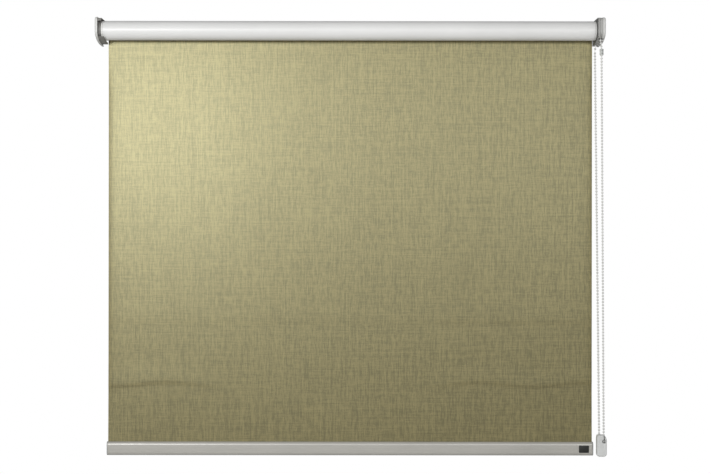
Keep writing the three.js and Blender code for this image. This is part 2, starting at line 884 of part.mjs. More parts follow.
function strand(exit, entry) {
  const length = exit.distanceTo(entry);
  return new THREE.LineCurve3(along(exit, entry, gap), along(exit, entry, length - gap));
}

add('chain_front_strand', tubeAlong(strand(frontExit, frontEntry), strandSteps), chainPlastic);
add('chain_rear_strand', tubeAlong(strand(rearExit, rearEntry), strandSteps), chainPlastic);

/** Points on a half turn in X-Z or Y-Z about a centre, from one side to the other. */
function halfTurn(pointAt) {
  return Array.from({ length: turnSteps + 1 }, (_, i) => pointAt((i / turnSteps) * Math.PI));
}

/** The chain over the wheel: up behind, round the top and down in front, inside the guard. */
function overWheel() {
  const driftX = chainDrift - driftAfterLower;
  return new THREE.CatmullRomCurve3([
    rearExit.clone(),
    new THREE.Vector3(sprocketX - driftX, rearExit.y, driftLower),
    new THREE.Vector3(sprocketX, rearExit.y, driftUpper),
    ...halfTurn((angle) => new THREE.Vector3(
      sprocketX, axisY + sprocketRadius * Math.cos(angle), sprocketRadius * Math.sin(angle),
    )),
    new THREE.Vector3(sprocketX, frontExit.y, driftUpper),
    new THREE.Vector3(sprocketX + driftX, frontExit.y, driftLower),
    frontExit.clone(),
  ]);
}

add('chain_over_wheel', tubeAlong(overWheel(), wheelChainSteps), chainPlastic);

/** The turn at the bottom of the loop, inside the weight. */
function lowerTurn() {
  return new THREE.CatmullRomCurve3([
    frontEntry.clone(),
    ...halfTurn((angle) => new THREE.Vector3(
      turnCentre.x + turnRadius * Math.cos(angle), axisY, turnCentre.z - turnRadius * Math.sin(angle),
    )),
    rearEntry.clone(),
  ]);
}

add('chain_lower_turn', tubeAlong(lowerTurn(), lowerTurnSteps), chainPlastic);

// The connector joins the two ends of the chain and stops the blind at its lowest point.
const connectorBore = chainDiameter / 2 + connectorPlay;
const connectorProfile = [
  [0, connectorBore],
  [0, connectorRadius - connectorChamfer],
  [connectorChamfer, connectorRadius],
  [connectorLength - connectorChamfer, connectorRadius],
  [connectorLength, connectorRadius - connectorChamfer],
  [connectorLength, connectorBore],
  [0, connectorBore],
].map(([height, radius]) => new THREE.Vector2(radius, height));
const strandDirection = frontEntry.clone().sub(frontExit).normalize();
const connector = add(
  'chain_connector', new THREE.LatheGeometry(connectorProfile, roundSegments), chainPlastic,
);
connector.quaternion.setFromUnitVectors(new THREE.Vector3(0, 1, 0), strandDirection);
connector.position.copy(along(frontExit, frontEntry, connectorBelowExit));

// ---------------------------------------------------------------- chain weight
const weightBottom = weightTop - weightHeight;
const weightLeft = turnCentre.x - weightWidth / 2;
const weightRight = turnCentre.x + weightWidth / 2;

/** The weight's front outline in (X, Z): round at the bottom, a long slope at one shoulder. */
function weightOutline(inset) {
  const left = weightLeft + inset;
  const right = weightRight - inset;
  const bottom = weightBottom + inset;
  const top = weightTop - inset;
  const low = weightLowCorner - inset;
  const highWidth = Math.max(weightHighCornerWidth - inset, leastCornerRadius);
  const highHeight = weightHighCornerHeight - inset;
  const shape = new THREE.Shape();
  shape.moveTo(left + low, bottom);
  shape.lineTo(right - low, bottom);
  shape.absarc(right - low, bottom + low, low, -Math.PI / 2, 0, false);
  shape.lineTo(right, top - shoulderDrop);
  shape.quadraticCurveTo(right - shoulderLean, top - shoulderBow, right - shoulderWidth, top);
  shape.lineTo(left + highWidth, top);
  shape.absellipse(
    left + highWidth, top - highHeight, highWidth, highHeight, Math.PI / 2, Math.PI, false,
  );
  shape.lineTo(left, bottom + low);
  shape.absarc(left + low, bottom + low, low, Math.PI, Math.PI * 1.5, false);
  return shape;
}

const weightFrontY = axisY - weightDepth / 2;
const weightBackY = axisY + weightDepth / 2;
const entryHalf = chainDiameter / 2 + entryPlay;
const entryHoles = [frontEntry, rearEntry].map((entry) => box(
  entry.x - entryHalf, entry.x + entryHalf,
  axisY - entryHalf, axisY + entryHalf, weightTop - entryDepth, weightTop + beyond,
));
const keyhole = new THREE.CylinderGeometry(
  keyholeRadius, keyholeRadius, 2 * (weightWall + beyond), roundSegments,
);
keyhole.translate(frontEntry.x, weightFrontY, weightTop - keyholeBelowTop);

/** One moulded half of the weight's shell, between two depths. */
function weightShell(y0, y1, cavityY0, cavityY1, extraTools) {
  return cut(
    prismY(weightOutline(0), y0, y1),
    prismY(weightOutline(weightWall), cavityY0, cavityY1),
    ...entryHoles,
    ...extraTools,
  );
}

add(
  'weight_shell_front',
  weightShell(
    weightFrontY, axisY - gap / 2, weightFrontY + weightWall, axisY + beyond, [keyhole],
  ),
  chainPlastic,
);
add(
  'weight_shell_back',
  weightShell(axisY + gap / 2, weightBackY, axisY - beyond, weightBackY - weightWall, []),
  chainPlastic,
);
const slugHalfX = weightWidth / 2 - weightWall - slugSideRoom;
const slugHalfY = weightDepth / 2 - weightWall - gap;
add(
  'weight_core',
  box(
    turnCentre.x - slugHalfX, turnCentre.x + slugHalfX, axisY - slugHalfY, axisY + slugHalfY,
    weightBottom + weightWall + slugBottomRoom,
    turnCentre.z - turnRadius - chainDiameter / 2 - 2 * gap,
  ),
  leadCore,
);
const postRadius = turnRadius - chainDiameter / 2 - postPlay;
const post = new THREE.CylinderGeometry(postRadius, postRadius, 2 * slugHalfY, roundSegments / 2);
post.translate(turnCentre.x, axisY, turnCentre.z);
add('weight_turn_post', post, whitePlastic);

export default blind;
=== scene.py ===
"""A chain-operated roller blind: the looks of every piece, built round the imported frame."""
import math

import bmesh
import bpy
from mathutils import Matrix, Vector, noise


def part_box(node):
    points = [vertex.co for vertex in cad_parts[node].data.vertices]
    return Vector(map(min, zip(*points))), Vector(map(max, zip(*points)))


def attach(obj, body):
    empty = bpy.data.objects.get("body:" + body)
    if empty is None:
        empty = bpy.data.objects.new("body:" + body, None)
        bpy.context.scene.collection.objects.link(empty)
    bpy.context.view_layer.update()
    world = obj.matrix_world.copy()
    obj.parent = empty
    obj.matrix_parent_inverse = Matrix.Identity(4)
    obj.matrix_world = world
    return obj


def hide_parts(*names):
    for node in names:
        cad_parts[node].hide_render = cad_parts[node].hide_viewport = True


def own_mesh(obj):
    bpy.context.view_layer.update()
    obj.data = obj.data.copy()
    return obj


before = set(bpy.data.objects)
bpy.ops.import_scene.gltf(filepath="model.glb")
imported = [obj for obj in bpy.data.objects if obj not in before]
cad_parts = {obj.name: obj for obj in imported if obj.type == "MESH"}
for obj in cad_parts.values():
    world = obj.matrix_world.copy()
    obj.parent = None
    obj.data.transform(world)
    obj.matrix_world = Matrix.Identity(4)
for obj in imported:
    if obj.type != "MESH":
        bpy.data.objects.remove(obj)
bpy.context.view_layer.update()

MM = 0.001


# ------------------------------------------------------------------ places from the frame
def corners(node):
    """The lowest and highest corner of a CAD node."""
    low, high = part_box(node)
    return Vector(low), Vector(high)


TUBE_LOW, TUBE_HIGH = corners("roller_tube")
AXIS_Y = (TUBE_LOW.y + TUBE_HIGH.y) / 2
TUBE_RADIUS = (TUBE_HIGH.z - TUBE_LOW.z) / 2
SHEET_LOW, SHEET_HIGH = corners("fabric_sheet")
SHEET_Y = (SHEET_LOW.y + SHEET_HIGH.y) / 2
COVER_LOW, COVER_HIGH = corners("right_bracket_cover")
BAR_LOW, BAR_HIGH = corners("bottom_bar_profile")
CAP_LOW, CAP_HIGH = corners("bar_end_cap_right")


# ------------------------------------------------------------------ camera
CAMERA_DISTANCE = 2.3
CAMERA_X = 10.6 * MM
CAMERA_Z = -408.6 * MM
CAMERA_ROLL = -0.06
CAMERA_LENS = 58.23


def build_camera():
    """Level with the middle of the blind and square to it, at a distance from the cloth."""
    data = bpy.data.cameras.new("camera")
    data.lens = CAMERA_LENS
    data.sensor_width = 36.0
    camera = bpy.data.objects.new("camera", data)
    bpy.context.scene.collection.objects.link(camera)
    camera.location = (CAMERA_X, SHEET_Y - CAMERA_DISTANCE, CAMERA_Z)
    camera.rotation_euler = (math.radians(90), math.radians(CAMERA_ROLL), 0)
    bpy.context.scene.camera = camera


# ------------------------------------------------------------------ mesh helpers
def to_object(name, bm):
    """A new object from a bmesh, with its normals facing out."""
    bmesh.ops.recalc_face_normals(bm, faces=bm.faces)
    mesh = bpy.data.meshes.new(name)
    bm.to_mesh(mesh)
    bm.free()
    piece = bpy.data.objects.new(name, mesh)
    bpy.context.scene.collection.objects.link(piece)
    return piece


def loft(name, loops, closed=False):
    """Joins loops of points with quads; the two ends are closed with a face, or to each other."""
    bm = bmesh.new()
    rings = [[bm.verts.new(point) for point in loop] for loop in loops]
    pairs = list(zip(rings, rings[1:]))
    if closed:
        pairs.append((rings[-1], rings[0]))
    for first, second in pairs:
        count = len(first)
        for i in range(count):
            j = (i + 1) % count
            bm.faces.new((first[i], first[j], second[j], second[i]))
    if not closed:
        bm.faces.new(rings[0])
        bm.faces.new(reversed(rings[-1]))
    return to_object(name, bm)


def prism_x(name, outline, x0, x1):
    """An outline in (y, z) drawn out along X."""
    return loft(name, [[(x, y, z) for y, z in outline] for x in (x0, x1)])


def prism_y(name, outline, y0, y1):
    """An outline in (x, z) drawn out along Y."""
    return loft(name, [[(x, y, z) for x, z in outline] for y in (y0, y1)])


def turned(name, profile, segments=96, axis_y=AXIS_Y):
    """A closed profile of (x, radius) points turned round a line along X."""
    loops = []
    for step in range(segments):
        angle = 2 * math.pi * step / segments
        side, up = math.cos(angle), math.sin(angle)
        loops.append([(x, axis_y + radius * side, radius * up) for x, radius in profile])
    return loft(name, loops, closed=True)


def block(name, low, high):
    bm = bmesh.new()
    bmesh.ops.create_cube(bm, size=1.0)
    low, high = Vector(low), Vector(high)
    size = high - low
    for vert in bm.verts:
        vert.co = Vector(vert.co[i] * size[i] + (low[i] + high[i]) / 2 for i in range(3))
    return to_object(name, bm)


def apply_modifiers(piece):
    graph = bpy.context.evaluated_depsgraph_get()
    mesh = bpy.data.meshes.new_from_object(piece.evaluated_get(graph))
    old = piece.data
    piece.modifiers.clear()
    piece.data = mesh
    bpy.data.meshes.remove(old)


def combine(piece, tools, operation="DIFFERENCE"):
    """Cuts the tools from the piece, or joins them to it, and removes them."""
    for tool in tools:
        modifier = piece.modifiers.new("combine", "BOOLEAN")
        modifier.operation = operation
        modifier.solver = "EXACT"
        modifier.object = tool
        apply_modifiers(piece)
        mesh = tool.data
        bpy.data.objects.remove(tool)
        bpy.data.meshes.remove(mesh)
    return piece


def soften(piece, width, segments=2, angle=32):
    """Rounds every edge sharper than the angle."""
    modifier = piece.modifiers.new("soften", "BEVEL")
    modifier.width = width
    modifier.segments = segments
    modifier.limit_method = "ANGLE"
    modifier.angle_limit = math.radians(angle)
    modifier.use_clamp_overlap = True
    apply_modifiers(piece)
    return piece


def finish_piece(piece, body, material, nodes=(), smooth=35):
    """Shades a piece, gives it its material, and puts it on its body in place of CAD nodes."""
    piece.data.shade_smooth()
    piece.data.set_sharp_from_angle(angle=math.radians(smooth))
    piece.data.materials.clear()
    piece.data.materials.append(material)
    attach(piece, body)
    if nodes:
        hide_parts(*nodes)
    return piece


def arc(centre_u, centre_v, radius, start, end, steps):
    """Points on an arc, angles in degrees, both ends included."""
    points = []
    for step in range(steps + 1):
        angle = math.radians(start + (end - start) * step / steps)
        points.append((centre_u + radius * math.cos(angle), centre_v + radius * math.sin(angle)))
    return points


# ------------------------------------------------------------------ material helpers
class Graph:
    """A material's node tree with short calls for the nodes that the materials share."""

    def __init__(self, name):
        self.material = bpy.data.materials.new(name)
        self.material.use_nodes = True
        self.nodes = self.material.node_tree.nodes
        self.links = self.material.node_tree.links
        self.shader = self.nodes["Principled BSDF"]
        self.place = self.nodes.new("ShaderNodeTexCoord").outputs["Object"]

    def set(self, **values):
        for name, value in values.items():
            self.shader.inputs[name.replace("_", " ")].default_value = value

    def stretch(self, scale, turn=(0, 0, 0)):
        mapping = self.nodes.new("ShaderNodeMapping")
        mapping.inputs["Scale"].default_value = scale
        mapping.inputs["Rotation"].default_value = turn
        self.links.new(self.place, mapping.inputs["Vector"])
        return mapping.outputs["Vector"]

    def noise(self, scale, detail=3.0, roughness=0.55, stretch=(1, 1, 1), distortion=0.0):
        node = self.nodes.new("ShaderNodeTexNoise")
        node.inputs["Scale"].default_value = scale
        node.inputs["Detail"].default_value = detail
        node.inputs["Roughness"].default_value = roughness
        node.inputs["Distortion"].default_value = distortion
        self.links.new(self.stretch(stretch), node.inputs["Vector"])
        return node.outputs["Fac"]

    def wave(self, scale, direction, distortion=0.0, detail=0.0, profile="SIN"):
        node = self.nodes.new("ShaderNodeTexWave")
        node.bands_direction = direction
        node.wave_profile = profile
        node.inputs["Scale"].default_value = scale
        node.inputs["Distortion"].default_value = distortion
        node.inputs["Detail"].default_value = detail
        self.links.new(self.place, node.inputs["Vector"])
        return node.outputs["Fac"]

    def span(self, value, low, high, to_low=0.0, to_high=1.0):
        node = self.nodes.new("ShaderNodeMapRange")
        for name, number in zip(("From Min", "From Max", "To Min", "To Max"),
                                (low, high, to_low, to_high)):
            node.inputs[name].default_value = number
        self.links.new(value, node.inputs["Value"])
        return node.outputs["Result"]

    def math(self, operation, first, second):
        node = self.nodes.new("ShaderNodeMath")
        node.operation = operation
        for socket, value in zip(node.inputs, (first, second)):
            if isinstance(value, (int, float)):
                socket.default_value = value
            else:
                self.links.new(value, socket)
        return node.outputs[0]

    def within(self, start, end):
        """1 between two places along X, and 0 elsewhere."""
        split = self.nodes.new("ShaderNodeSeparateXYZ")
        self.links.new(self.place, split.inputs["Vector"])
        inside = self.nodes.new("ShaderNodeMath")
        inside.operation = "COMPARE"
        self.links.new(split.outputs["X"], inside.inputs[0])
        inside.inputs[1].default_value = (start + end) / 2
        inside.inputs[2].default_value = (end - start) / 2
        return inside.outputs[0]

    def mix(self, share, first, second):
        node = self.nodes.new("ShaderNodeMix")
        node.data_type = "RGBA"
        for socket, value in zip((node.inputs[0], node.inputs[6], node.inputs[7]),
                                 (share, first, second)):
            if isinstance(value, tuple):
                socket.default_value = (*value, 1.0)
            elif isinstance(value, (int, float)):
                socket.default_value = value
            else:
                self.links.new(value, socket)
        return node.outputs[2]

    def colour(self, output):
        self.links.new(output, self.shader.inputs["Base Color"])

    def roughness(self, output):
        self.links.new(output, self.shader.inputs["Roughness"])

    def bump(self, heights, distance):
        """Adds up (height, strength) pairs, each as a bump of its own."""
        normal = None
        for height, strength in heights:
            node = self.nodes.new("ShaderNodeBump")
            node.inputs["Strength"].default_value = strength
            node.inputs["Distance"].default_value = distance
            self.links.new(height, node.inputs["Height"])
            if normal is not None:
                self.links.new(normal, node.inputs["Normal"])
            normal = node.outputs["Normal"]
        self.links.new(normal, self.shader.inputs["Normal"])


def moulded(name, light, dark, roughness=0.42, grain=0.12, specular=0.5, line=None, painted_shade_bands=()):
    """Moulded plastic: a fine spark-eroded grain, faint flow marks and handling scuffs.

    Painted shade can run across it as dark bands, each band from one place along X to another.
    """
    graph = Graph(name)
    cloud = graph.noise(22.0, 4.0, 0.6)
    fine = graph.noise(2600.0, 2.0, 0.6)
    scuff = graph.noise(180.0, 5.0, 0.7, stretch=(1.0, 0.35, 1.6), distortion=1.2)
    tone = graph.math("ADD", graph.math("MULTIPLY", cloud, 0.6), graph.math("MULTIPLY", scuff, 0.4))
    base = graph.mix(graph.span(tone, 0.35, 0.65), dark, light)
    # Each band paints the colour line over the base colour: painted shade, not a colour that the
    # plastic has.
    for start, end in painted_shade_bands:
        base = graph.mix(graph.within(start, end), base, line)
    graph.colour(base)
    graph.roughness(graph.span(scuff, 0.3, 0.7, roughness - 0.07, roughness + 0.1))
    graph.bump([(fine, grain), (scuff, grain * 0.4)], 0.15 * MM)
    graph.set(Specular_IOR_Level=specular)
    return graph.material


def metal(name, light, dark, roughness=0.32, brushed=(1.0, 40.0, 40.0), metallic=1.0):
    """Plated or bare metal with drawing lines along the part and cloudy tarnish."""
    graph = Graph(name)
    lines = graph.noise(60.0, 3.0, 0.6, stretch=brushed)
    cloud = graph.noise(35.0, 4.0, 0.6)
    graph.colour(graph.mix(graph.span(cloud, 0.35, 0.65), dark, light))
    graph.roughness(graph.span(lines, 0.3, 0.7, roughness - 0.08, roughness + 0.12))
    graph.bump([(lines, 0.15)], 0.1 * MM)
    graph.set(Metallic=metallic)
    return graph.material


def coated(name, light, dark, roughness, metallic, streaks):
    """Satin powder or wet paint on an extrusion: orange peel, die lines and dull patches."""
    graph = Graph(name)
    peel = graph.noise(900.0, 2.0, 0.5)
    lines = graph.noise(26.0, 3.0, 0.65, stretch=streaks)
    cloud = graph.noise(7.0, 4.0, 0.6)
    tone = graph.math("ADD", graph.math("MULTIPLY", lines, 0.45), graph.math("MULTIPLY", cloud, 0.55))
    graph.colour(graph.mix(graph.span(tone, 0.36, 0.64), dark, light))
    graph.roughness(graph.span(lines, 0.3, 0.7, roughness - 0.05, roughness + 0.08))
    graph.bump([(peel, 0.06), (lines, 0.05)], 0.2 * MM)
    graph.set(Metallic=metallic, Coat_Weight=0.25, Coat_Roughness=0.25)
    return graph.material


WARP_PITCH = 0.62 * MM
WEFT_PITCH = 0.70 * MM


def woven(name):
    """Khaki melange cloth: short uneven slubs both ways over a plain weave, with a satin sheen."""
    graph = Graph(name)
    warp_slub = graph.noise(1.0, 3.0, 0.6, stretch=(430.0, 20.0, 55.0))
    warp_long = graph.noise(1.0, 2.0, 0.5, stretch=(260.0, 9.0, 7.0))
    weft_slub = graph.noise(1.0, 3.0, 0.6, stretch=(60.0, 20.0, 520.0))
    weft_long = graph.noise(1.0, 2.0, 0.5, stretch=(6.0, 9.0, 300.0))
    melange = graph.noise(650.0, 3.0, 0.7)
    cloud = graph.noise(5.0, 3.0, 0.5)
    warps = graph.math("ADD", graph.math("MULTIPLY", warp_slub, 0.34),
                       graph.math("MULTIPLY", warp_long, 0.16))
    wefts = graph.math("ADD", graph.math("MULTIPLY", weft_slub, 0.18),
                       graph.math("MULTIPLY", weft_long, 0.12))
    yarns = graph.math("ADD", graph.math("ADD", warps, wefts),
                       graph.math("MULTIPLY", melange, 0.20))
    base = graph.mix(graph.span(yarns, 0.43, 0.57), (0.034, 0.020, 0.002), (0.184, 0.146, 0.058))
    graph.colour(graph.mix(graph.span(cloud, 0.3, 0.7, 0.0, 0.08), base, (0.085, 0.066, 0.020)))
    warp = graph.wave(math.pi / (20.0 * WARP_PITCH), "X", 0.6, 1.0)
    weft = graph.wave(math.pi / (20.0 * WEFT_PITCH), "Z", 0.6, 1.0)
    weave = graph.math("MULTIPLY", warp, weft)
    graph.bump([(weave, 0.25), (yarns, 0.2)], 0.2 * MM)
    graph.roughness(graph.span(yarns, 0.4, 0.6, 0.450, 0.418))
    graph.set(Sheen_Weight=0.1, Sheen_Roughness=0.4, Specular_IOR_Level=1.0, IOR=1.85,
              Specular_Tint=(1.0, 0.96, 0.59, 1.0))
    return graph.material


WHITE_TUBE = coated("white_tube_paint", (0.83, 0.83, 0.82), (0.78, 0.78, 0.77), 0.44, 0.0,
                    (0.4, 60.0, 60.0))
WHITE_PLASTIC = moulded("white_moulding", (0.86, 0.86, 0.84), (0.80, 0.80, 0.77), 0.38)
GREY_PLASTIC = moulded("grey_cover_moulding", (0.72, 0.72, 0.70), (0.63, 0.63, 0.61), 0.36)
DARK_PLASTIC = moulded("dark_grey_moulding", (0.29, 0.28, 0.265), (0.21, 0.205, 0.19), 0.42)
ZINC = metal("zinc_plate", (0.62, 0.63, 0.64), (0.50, 0.51, 0.52), 0.34)
SPRING_STEEL = metal("spring_steel", (0.42, 0.42, 0.43), (0.30, 0.30, 0.31), 0.28)
CLOTH = woven("khaki_slub_cloth")
TAPE = moulded("pale_tape", (0.80, 0.77, 0.68), (0.72, 0.69, 0.60), 0.55, 0.05)
BAR_PAINT = coated("bar_paint", (0.54, 0.525, 0.485), (0.48, 0.47, 0.435), 0.31, 0.15,
                   (0.3, 70.0, 70.0))
BAR_CAP = moulded("bar_cap_moulding", (0.46, 0.47, 0.47), (0.39, 0.40, 0.40), 0.40)
DARK_TAG = moulded("blank_tag_vinyl", (0.020, 0.022, 0.018), (0.012, 0.013, 0.011), 0.45, 0.2)
BEADS = moulded("bead_chain_plastic", (0.80, 0.80, 0.78), (0.72, 0.72, 0.70), 0.30, 0.06)
CLEAR = moulded("milky_connector", (0.66, 0.68, 0.66), (0.56, 0.58, 0.56), 0.28, 0.05)
WEIGHT = moulded("weight_moulding", (0.78, 0.79, 0.78), (0.70, 0.71, 0.70), 0.40)


# ------------------------------------------------------------------ bead chain
CHAIN_DIAMETER = 4.5 * MM
BEAD_PITCH = 6 * MM
LINK_RADIUS = 0.55 * MM
FRONT_EXIT = Vector((494.35, -49.19, -36.0)) * MM
REAR_EXIT = Vector((488.35, -14.81, -36.0)) * MM
TURN_CENTRE = Vector((498.4, -32.0, -822.0)) * MM
TURN_RADIUS = 4.5 * MM
TURN_TOP = 12 * MM
DRIFT_LOWER = -25 * MM
DRIFT_UPPER = -12 * MM
DRIFT_LEFT = 1.6 * MM
EXIT_MARGIN = 0.85 * MM
EXIT_TOP = -12.7 * MM
WHEEL_X = (FRONT_EXIT.x + REAR_EXIT.x) / 2
ENTRY_Z = -797 * MM
FRONT_ENTRY = Vector((TURN_CENTRE.x + TURN_RADIUS, TURN_CENTRE.y, ENTRY_Z))
REAR_ENTRY = Vector((TURN_CENTRE.x - TURN_RADIUS, TURN_CENTRE.y, ENTRY_Z))


def walk(points, spacing):
    """Points at an even spacing along a path, with the direction at each."""
    found = []
    need = spacing / 2
    for a, b in zip(points, points[1:]):
        step = b - a
        length = step.length
        while need <= length:
            found.append((a + step * (need / length), step.normalized()))
            need += spacing
        need -= length
    return found


def ball(rings=8, segments=12):
    """A unit ball's points and faces, its poles on Z."""
    points = [(0.0, 0.0, 1.0)]
    for ring in range(1, rings):
        tilt = math.pi * ring / rings
        for segment in range(segments):
            turn = 2 * math.pi * segment / segments
            points.append((math.sin(tilt) * math.cos(turn), math.sin(tilt) * math.sin(turn),
                           math.cos(tilt)))
    points.append((0.0, 0.0, -1.0))
    faces = []
    last = len(points) - 1
    for segment in range(segments):
        after = (segment + 1) % segments
        faces.append((0, 1 + segment, 1 + after))
        for ring in range(rings - 2):
            here = 1 + ring * segments
            below = here + segments
            faces.append((here + segment, below + segment, below + after, here + after))
        end = 1 + (rings - 2) * segments
        faces.append((end + segment, last, end + after))
    return points, faces


def rod(sides=8):
    """A unit rod's points and faces, from z = 0 to z = 1, with flat ends."""
    points = []
    for z in (0.0, 1.0):
        for side in range(sides):
            turn = 2 * math.pi * side / sides
            points.append((math.cos(turn), math.sin(turn), z))
    faces = [tuple(range(sides))[::-1], tuple(range(sides, 2 * sides))]
    for side in range(sides):
        after = (side + 1) % sides
        faces.append((side, after, sides + after, sides + side))
    return points, faces


def bead_chain(name, path):
    """Moulded beads on a thin cord along a path."""
    beads = walk(path, BEAD_PITCH)
    points, faces = [], []

    def stamp(shape, matrix):
        base = len(points)
        shape_points, shape_faces = shape
        points.extend(matrix @ Vector(point) for point in shape_points)
        faces.extend(tuple(base + index for index in face) for face in shape_faces)

    bead, link = ball(), rod()
    for centre, direction in beads:
        turn = direction.to_track_quat("Z", "Y").to_matrix().to_4x4()
        size = Matrix.Diagonal((CHAIN_DIAMETER / 2, CHAIN_DIAMETER / 2, CHAIN_DIAMETER / 2, 1))
        stamp(bead, Matrix.Translation(centre) @ turn @ size)
    joints = [path[0]] + [centre for centre, _ in beads] + [path[-1]]
    for a, b in zip(joints, joints[1:]):
        turn = (b - a).to_track_quat("Z", "Y").to_matrix().to_4x4()
        size = Matrix.Diagonal((LINK_RADIUS, LINK_RADIUS, (b - a).length, 1))
        stamp(link, Matrix.Translation(a) @ turn @ size)
    mesh = bpy.data.meshes.new(name)
    mesh.from_pydata([tuple(point) for point in points], [], faces)
    mesh.update()
    piece = bpy.data.objects.new(name, mesh)
    bpy.context.scene.collection.objects.link(piece)
    return piece


def free_chain_path():
    """Down the front strand, round inside the weight and up the rear strand."""
    path = [FRONT_EXIT.lerp(FRONT_ENTRY, step / 20) for step in range(21)]
    path.append(Vector((FRONT_ENTRY.x, TURN_CENTRE.y, TURN_CENTRE.z + TURN_TOP)))
    for step in range(13):
        angle = -math.pi * step / 12
        path.append(TURN_CENTRE + TURN_RADIUS * Vector((math.cos(angle), 0, math.sin(angle))))
    path.append(Vector((REAR_ENTRY.x, TURN_CENTRE.y, TURN_CENTRE.z + TURN_TOP)))
    path.extend(REAR_ENTRY.lerp(REAR_EXIT, step / 20) for step in range(21))
    return path


def wheel_chain_path():
    """From the front exit up over the wheel and down to the rear exit."""
    wheel_radius = (REAR_EXIT.y - FRONT_EXIT.y) / 2
    path = [FRONT_EXIT, Vector((FRONT_EXIT.x - DRIFT_LEFT, FRONT_EXIT.y, DRIFT_LOWER)),
            Vector((WHEEL_X, FRONT_EXIT.y, DRIFT_UPPER))]
    for step in range(25):
        angle = math.pi * (1 - step / 24)
        path.append(Vector((WHEEL_X, AXIS_Y + wheel_radius * math.cos(angle),
                            wheel_radius * math.sin(angle))))
    path += [Vector((WHEEL_X, REAR_EXIT.y, DRIFT_UPPER)),
             Vector((REAR_EXIT.x + DRIFT_LEFT, REAR_EXIT.y, DRIFT_LOWER)), REAR_EXIT]
    return path


# ------------------------------------------------------------------ chain weight and connector
WEIGHT_LOW, WEIGHT_HIGH = corners("weight_shell_front")
WEIGHT_BACK = corners("weight_shell_back")[1].y
WEIGHT_WALL = 1.5 * MM
WEIGHT_PILLOW = 3.2 * MM
WEIGHT_PARTING = 0.3 * MM
WEIGHT_BOTTOM_RADIUS = 6 * MM
KEYHOLE_BELOW_TOP = 12.7 * MM
KEYHOLE_RADIUS = 4 * MM
KEYHOLE_SLOT = 2.6 * MM


def weight_outline(inset):
    """The weight's front outline: round at the bottom, a long slope at one shoulder."""
    left, right = WEIGHT_LOW.x + inset, WEIGHT_HIGH.x - inset
    bottom, top = WEIGHT_LOW.z + inset, WEIGHT_HIGH.z - inset
    low = WEIGHT_BOTTOM_RADIUS - inset
    wide, tall = max(2.5 * MM - inset, 0.5 * MM), 8 * MM - inset
    points = arc(right - low, bottom + low, low, -90, 0, 10)
    start = Vector((right, top - 12 * MM))
    control = Vector((right - 0.5 * MM, top - 3 * MM))
    end = Vector((right - 6 * MM, top))
    for step in range(13):
        t = step / 12
        point = start * (1 - t) ** 2 + control * 2 * t * (1 - t) + end * t ** 2
        points.append((point.x, point.y))
    for step in range(11):
        angle = math.radians(90 + 90 * step / 10)
        points.append((left + wide * (1 + math.cos(angle)), top - tall * (1 - math.sin(angle))))
    points += arc(left + low, bottom + low, low, 180, 270, 10)
    return points


def weight_half(name, outer_y, parting_y):
    """One moulded half: a pillowed face, a hollow inside and the chain's two entries."""
    inward = 1 if parting_y > outer_y else -1
    pillow = WEIGHT_PILLOW
    loops = []
    for step in range(7):
        angle = math.radians(90 * step / 6)
        inset = pillow * (1 - math.sin(angle)) * 0.8
        depth = outer_y + inward * pillow * (1 - math.cos(angle))
        loops.append([(x, depth, z) for x, z in weight_outline(inset)])
    loops.append([(x, parting_y, z) for x, z in weight_outline(0)])
    shell = loft(name, loops)
    cavity_y = outer_y + inward * WEIGHT_WALL
    cavity = prism_y("cavity", weight_outline(WEIGHT_WALL + 0.9 * MM),
                     min(cavity_y, parting_y + inward * MM), max(cavity_y, parting_y + inward * MM))
    half = CHAIN_DIAMETER / 2 + 0.5 * MM
    entries = [
        block("entry", (x - half, TURN_CENTRE.y - half, WEIGHT_HIGH.z - 10.5 * MM),
              (x + half, TURN_CENTRE.y + half, WEIGHT_HIGH.z + MM))
        for x in (FRONT_ENTRY.x, REAR_ENTRY.x)
    ]
    return combine(shell, [cavity] + entries)


def keyhole():
    """The round recess with its slot, where the chain is hooked in from the front."""
    centre_z = WEIGHT_HIGH.z - KEYHOLE_BELOW_TOP
    ring = arc(FRONT_ENTRY.x, centre_z, KEYHOLE_RADIUS, 0, 360, 32)[:-1]
    hole = prism_y("hole", ring, WEIGHT_LOW.y - MM, WEIGHT_LOW.y + 2.5 * WEIGHT_WALL)
    half = KEYHOLE_SLOT / 2
    slot = block("slot", (FRONT_ENTRY.x - half, WEIGHT_LOW.y - MM, centre_z),
                 (FRONT_ENTRY.x + half, WEIGHT_LOW.y + 2.5 * WEIGHT_WALL, WEIGHT_HIGH.z + MM))
    return [hole, slot]


def build_weight():
    middle = TURN_CENTRE.y
    front = weight_half("chain_weight_front", WEIGHT_LOW.y, middle - WEIGHT_PARTING / 2)
    combine(front, keyhole())
    soften(front, 0.35 * MM, 2, 50)
    finish_piece(front, "mount", WEIGHT, ["weight_shell_front"])
    back = weight_half("chain_weight_back", WEIGHT_BACK, middle + WEIGHT_PARTING / 2)
    soften(back, 0.35 * MM, 2, 50)
    finish_piece(back, "mount", WEIGHT, ["weight_shell_back"])
    return [front, back]


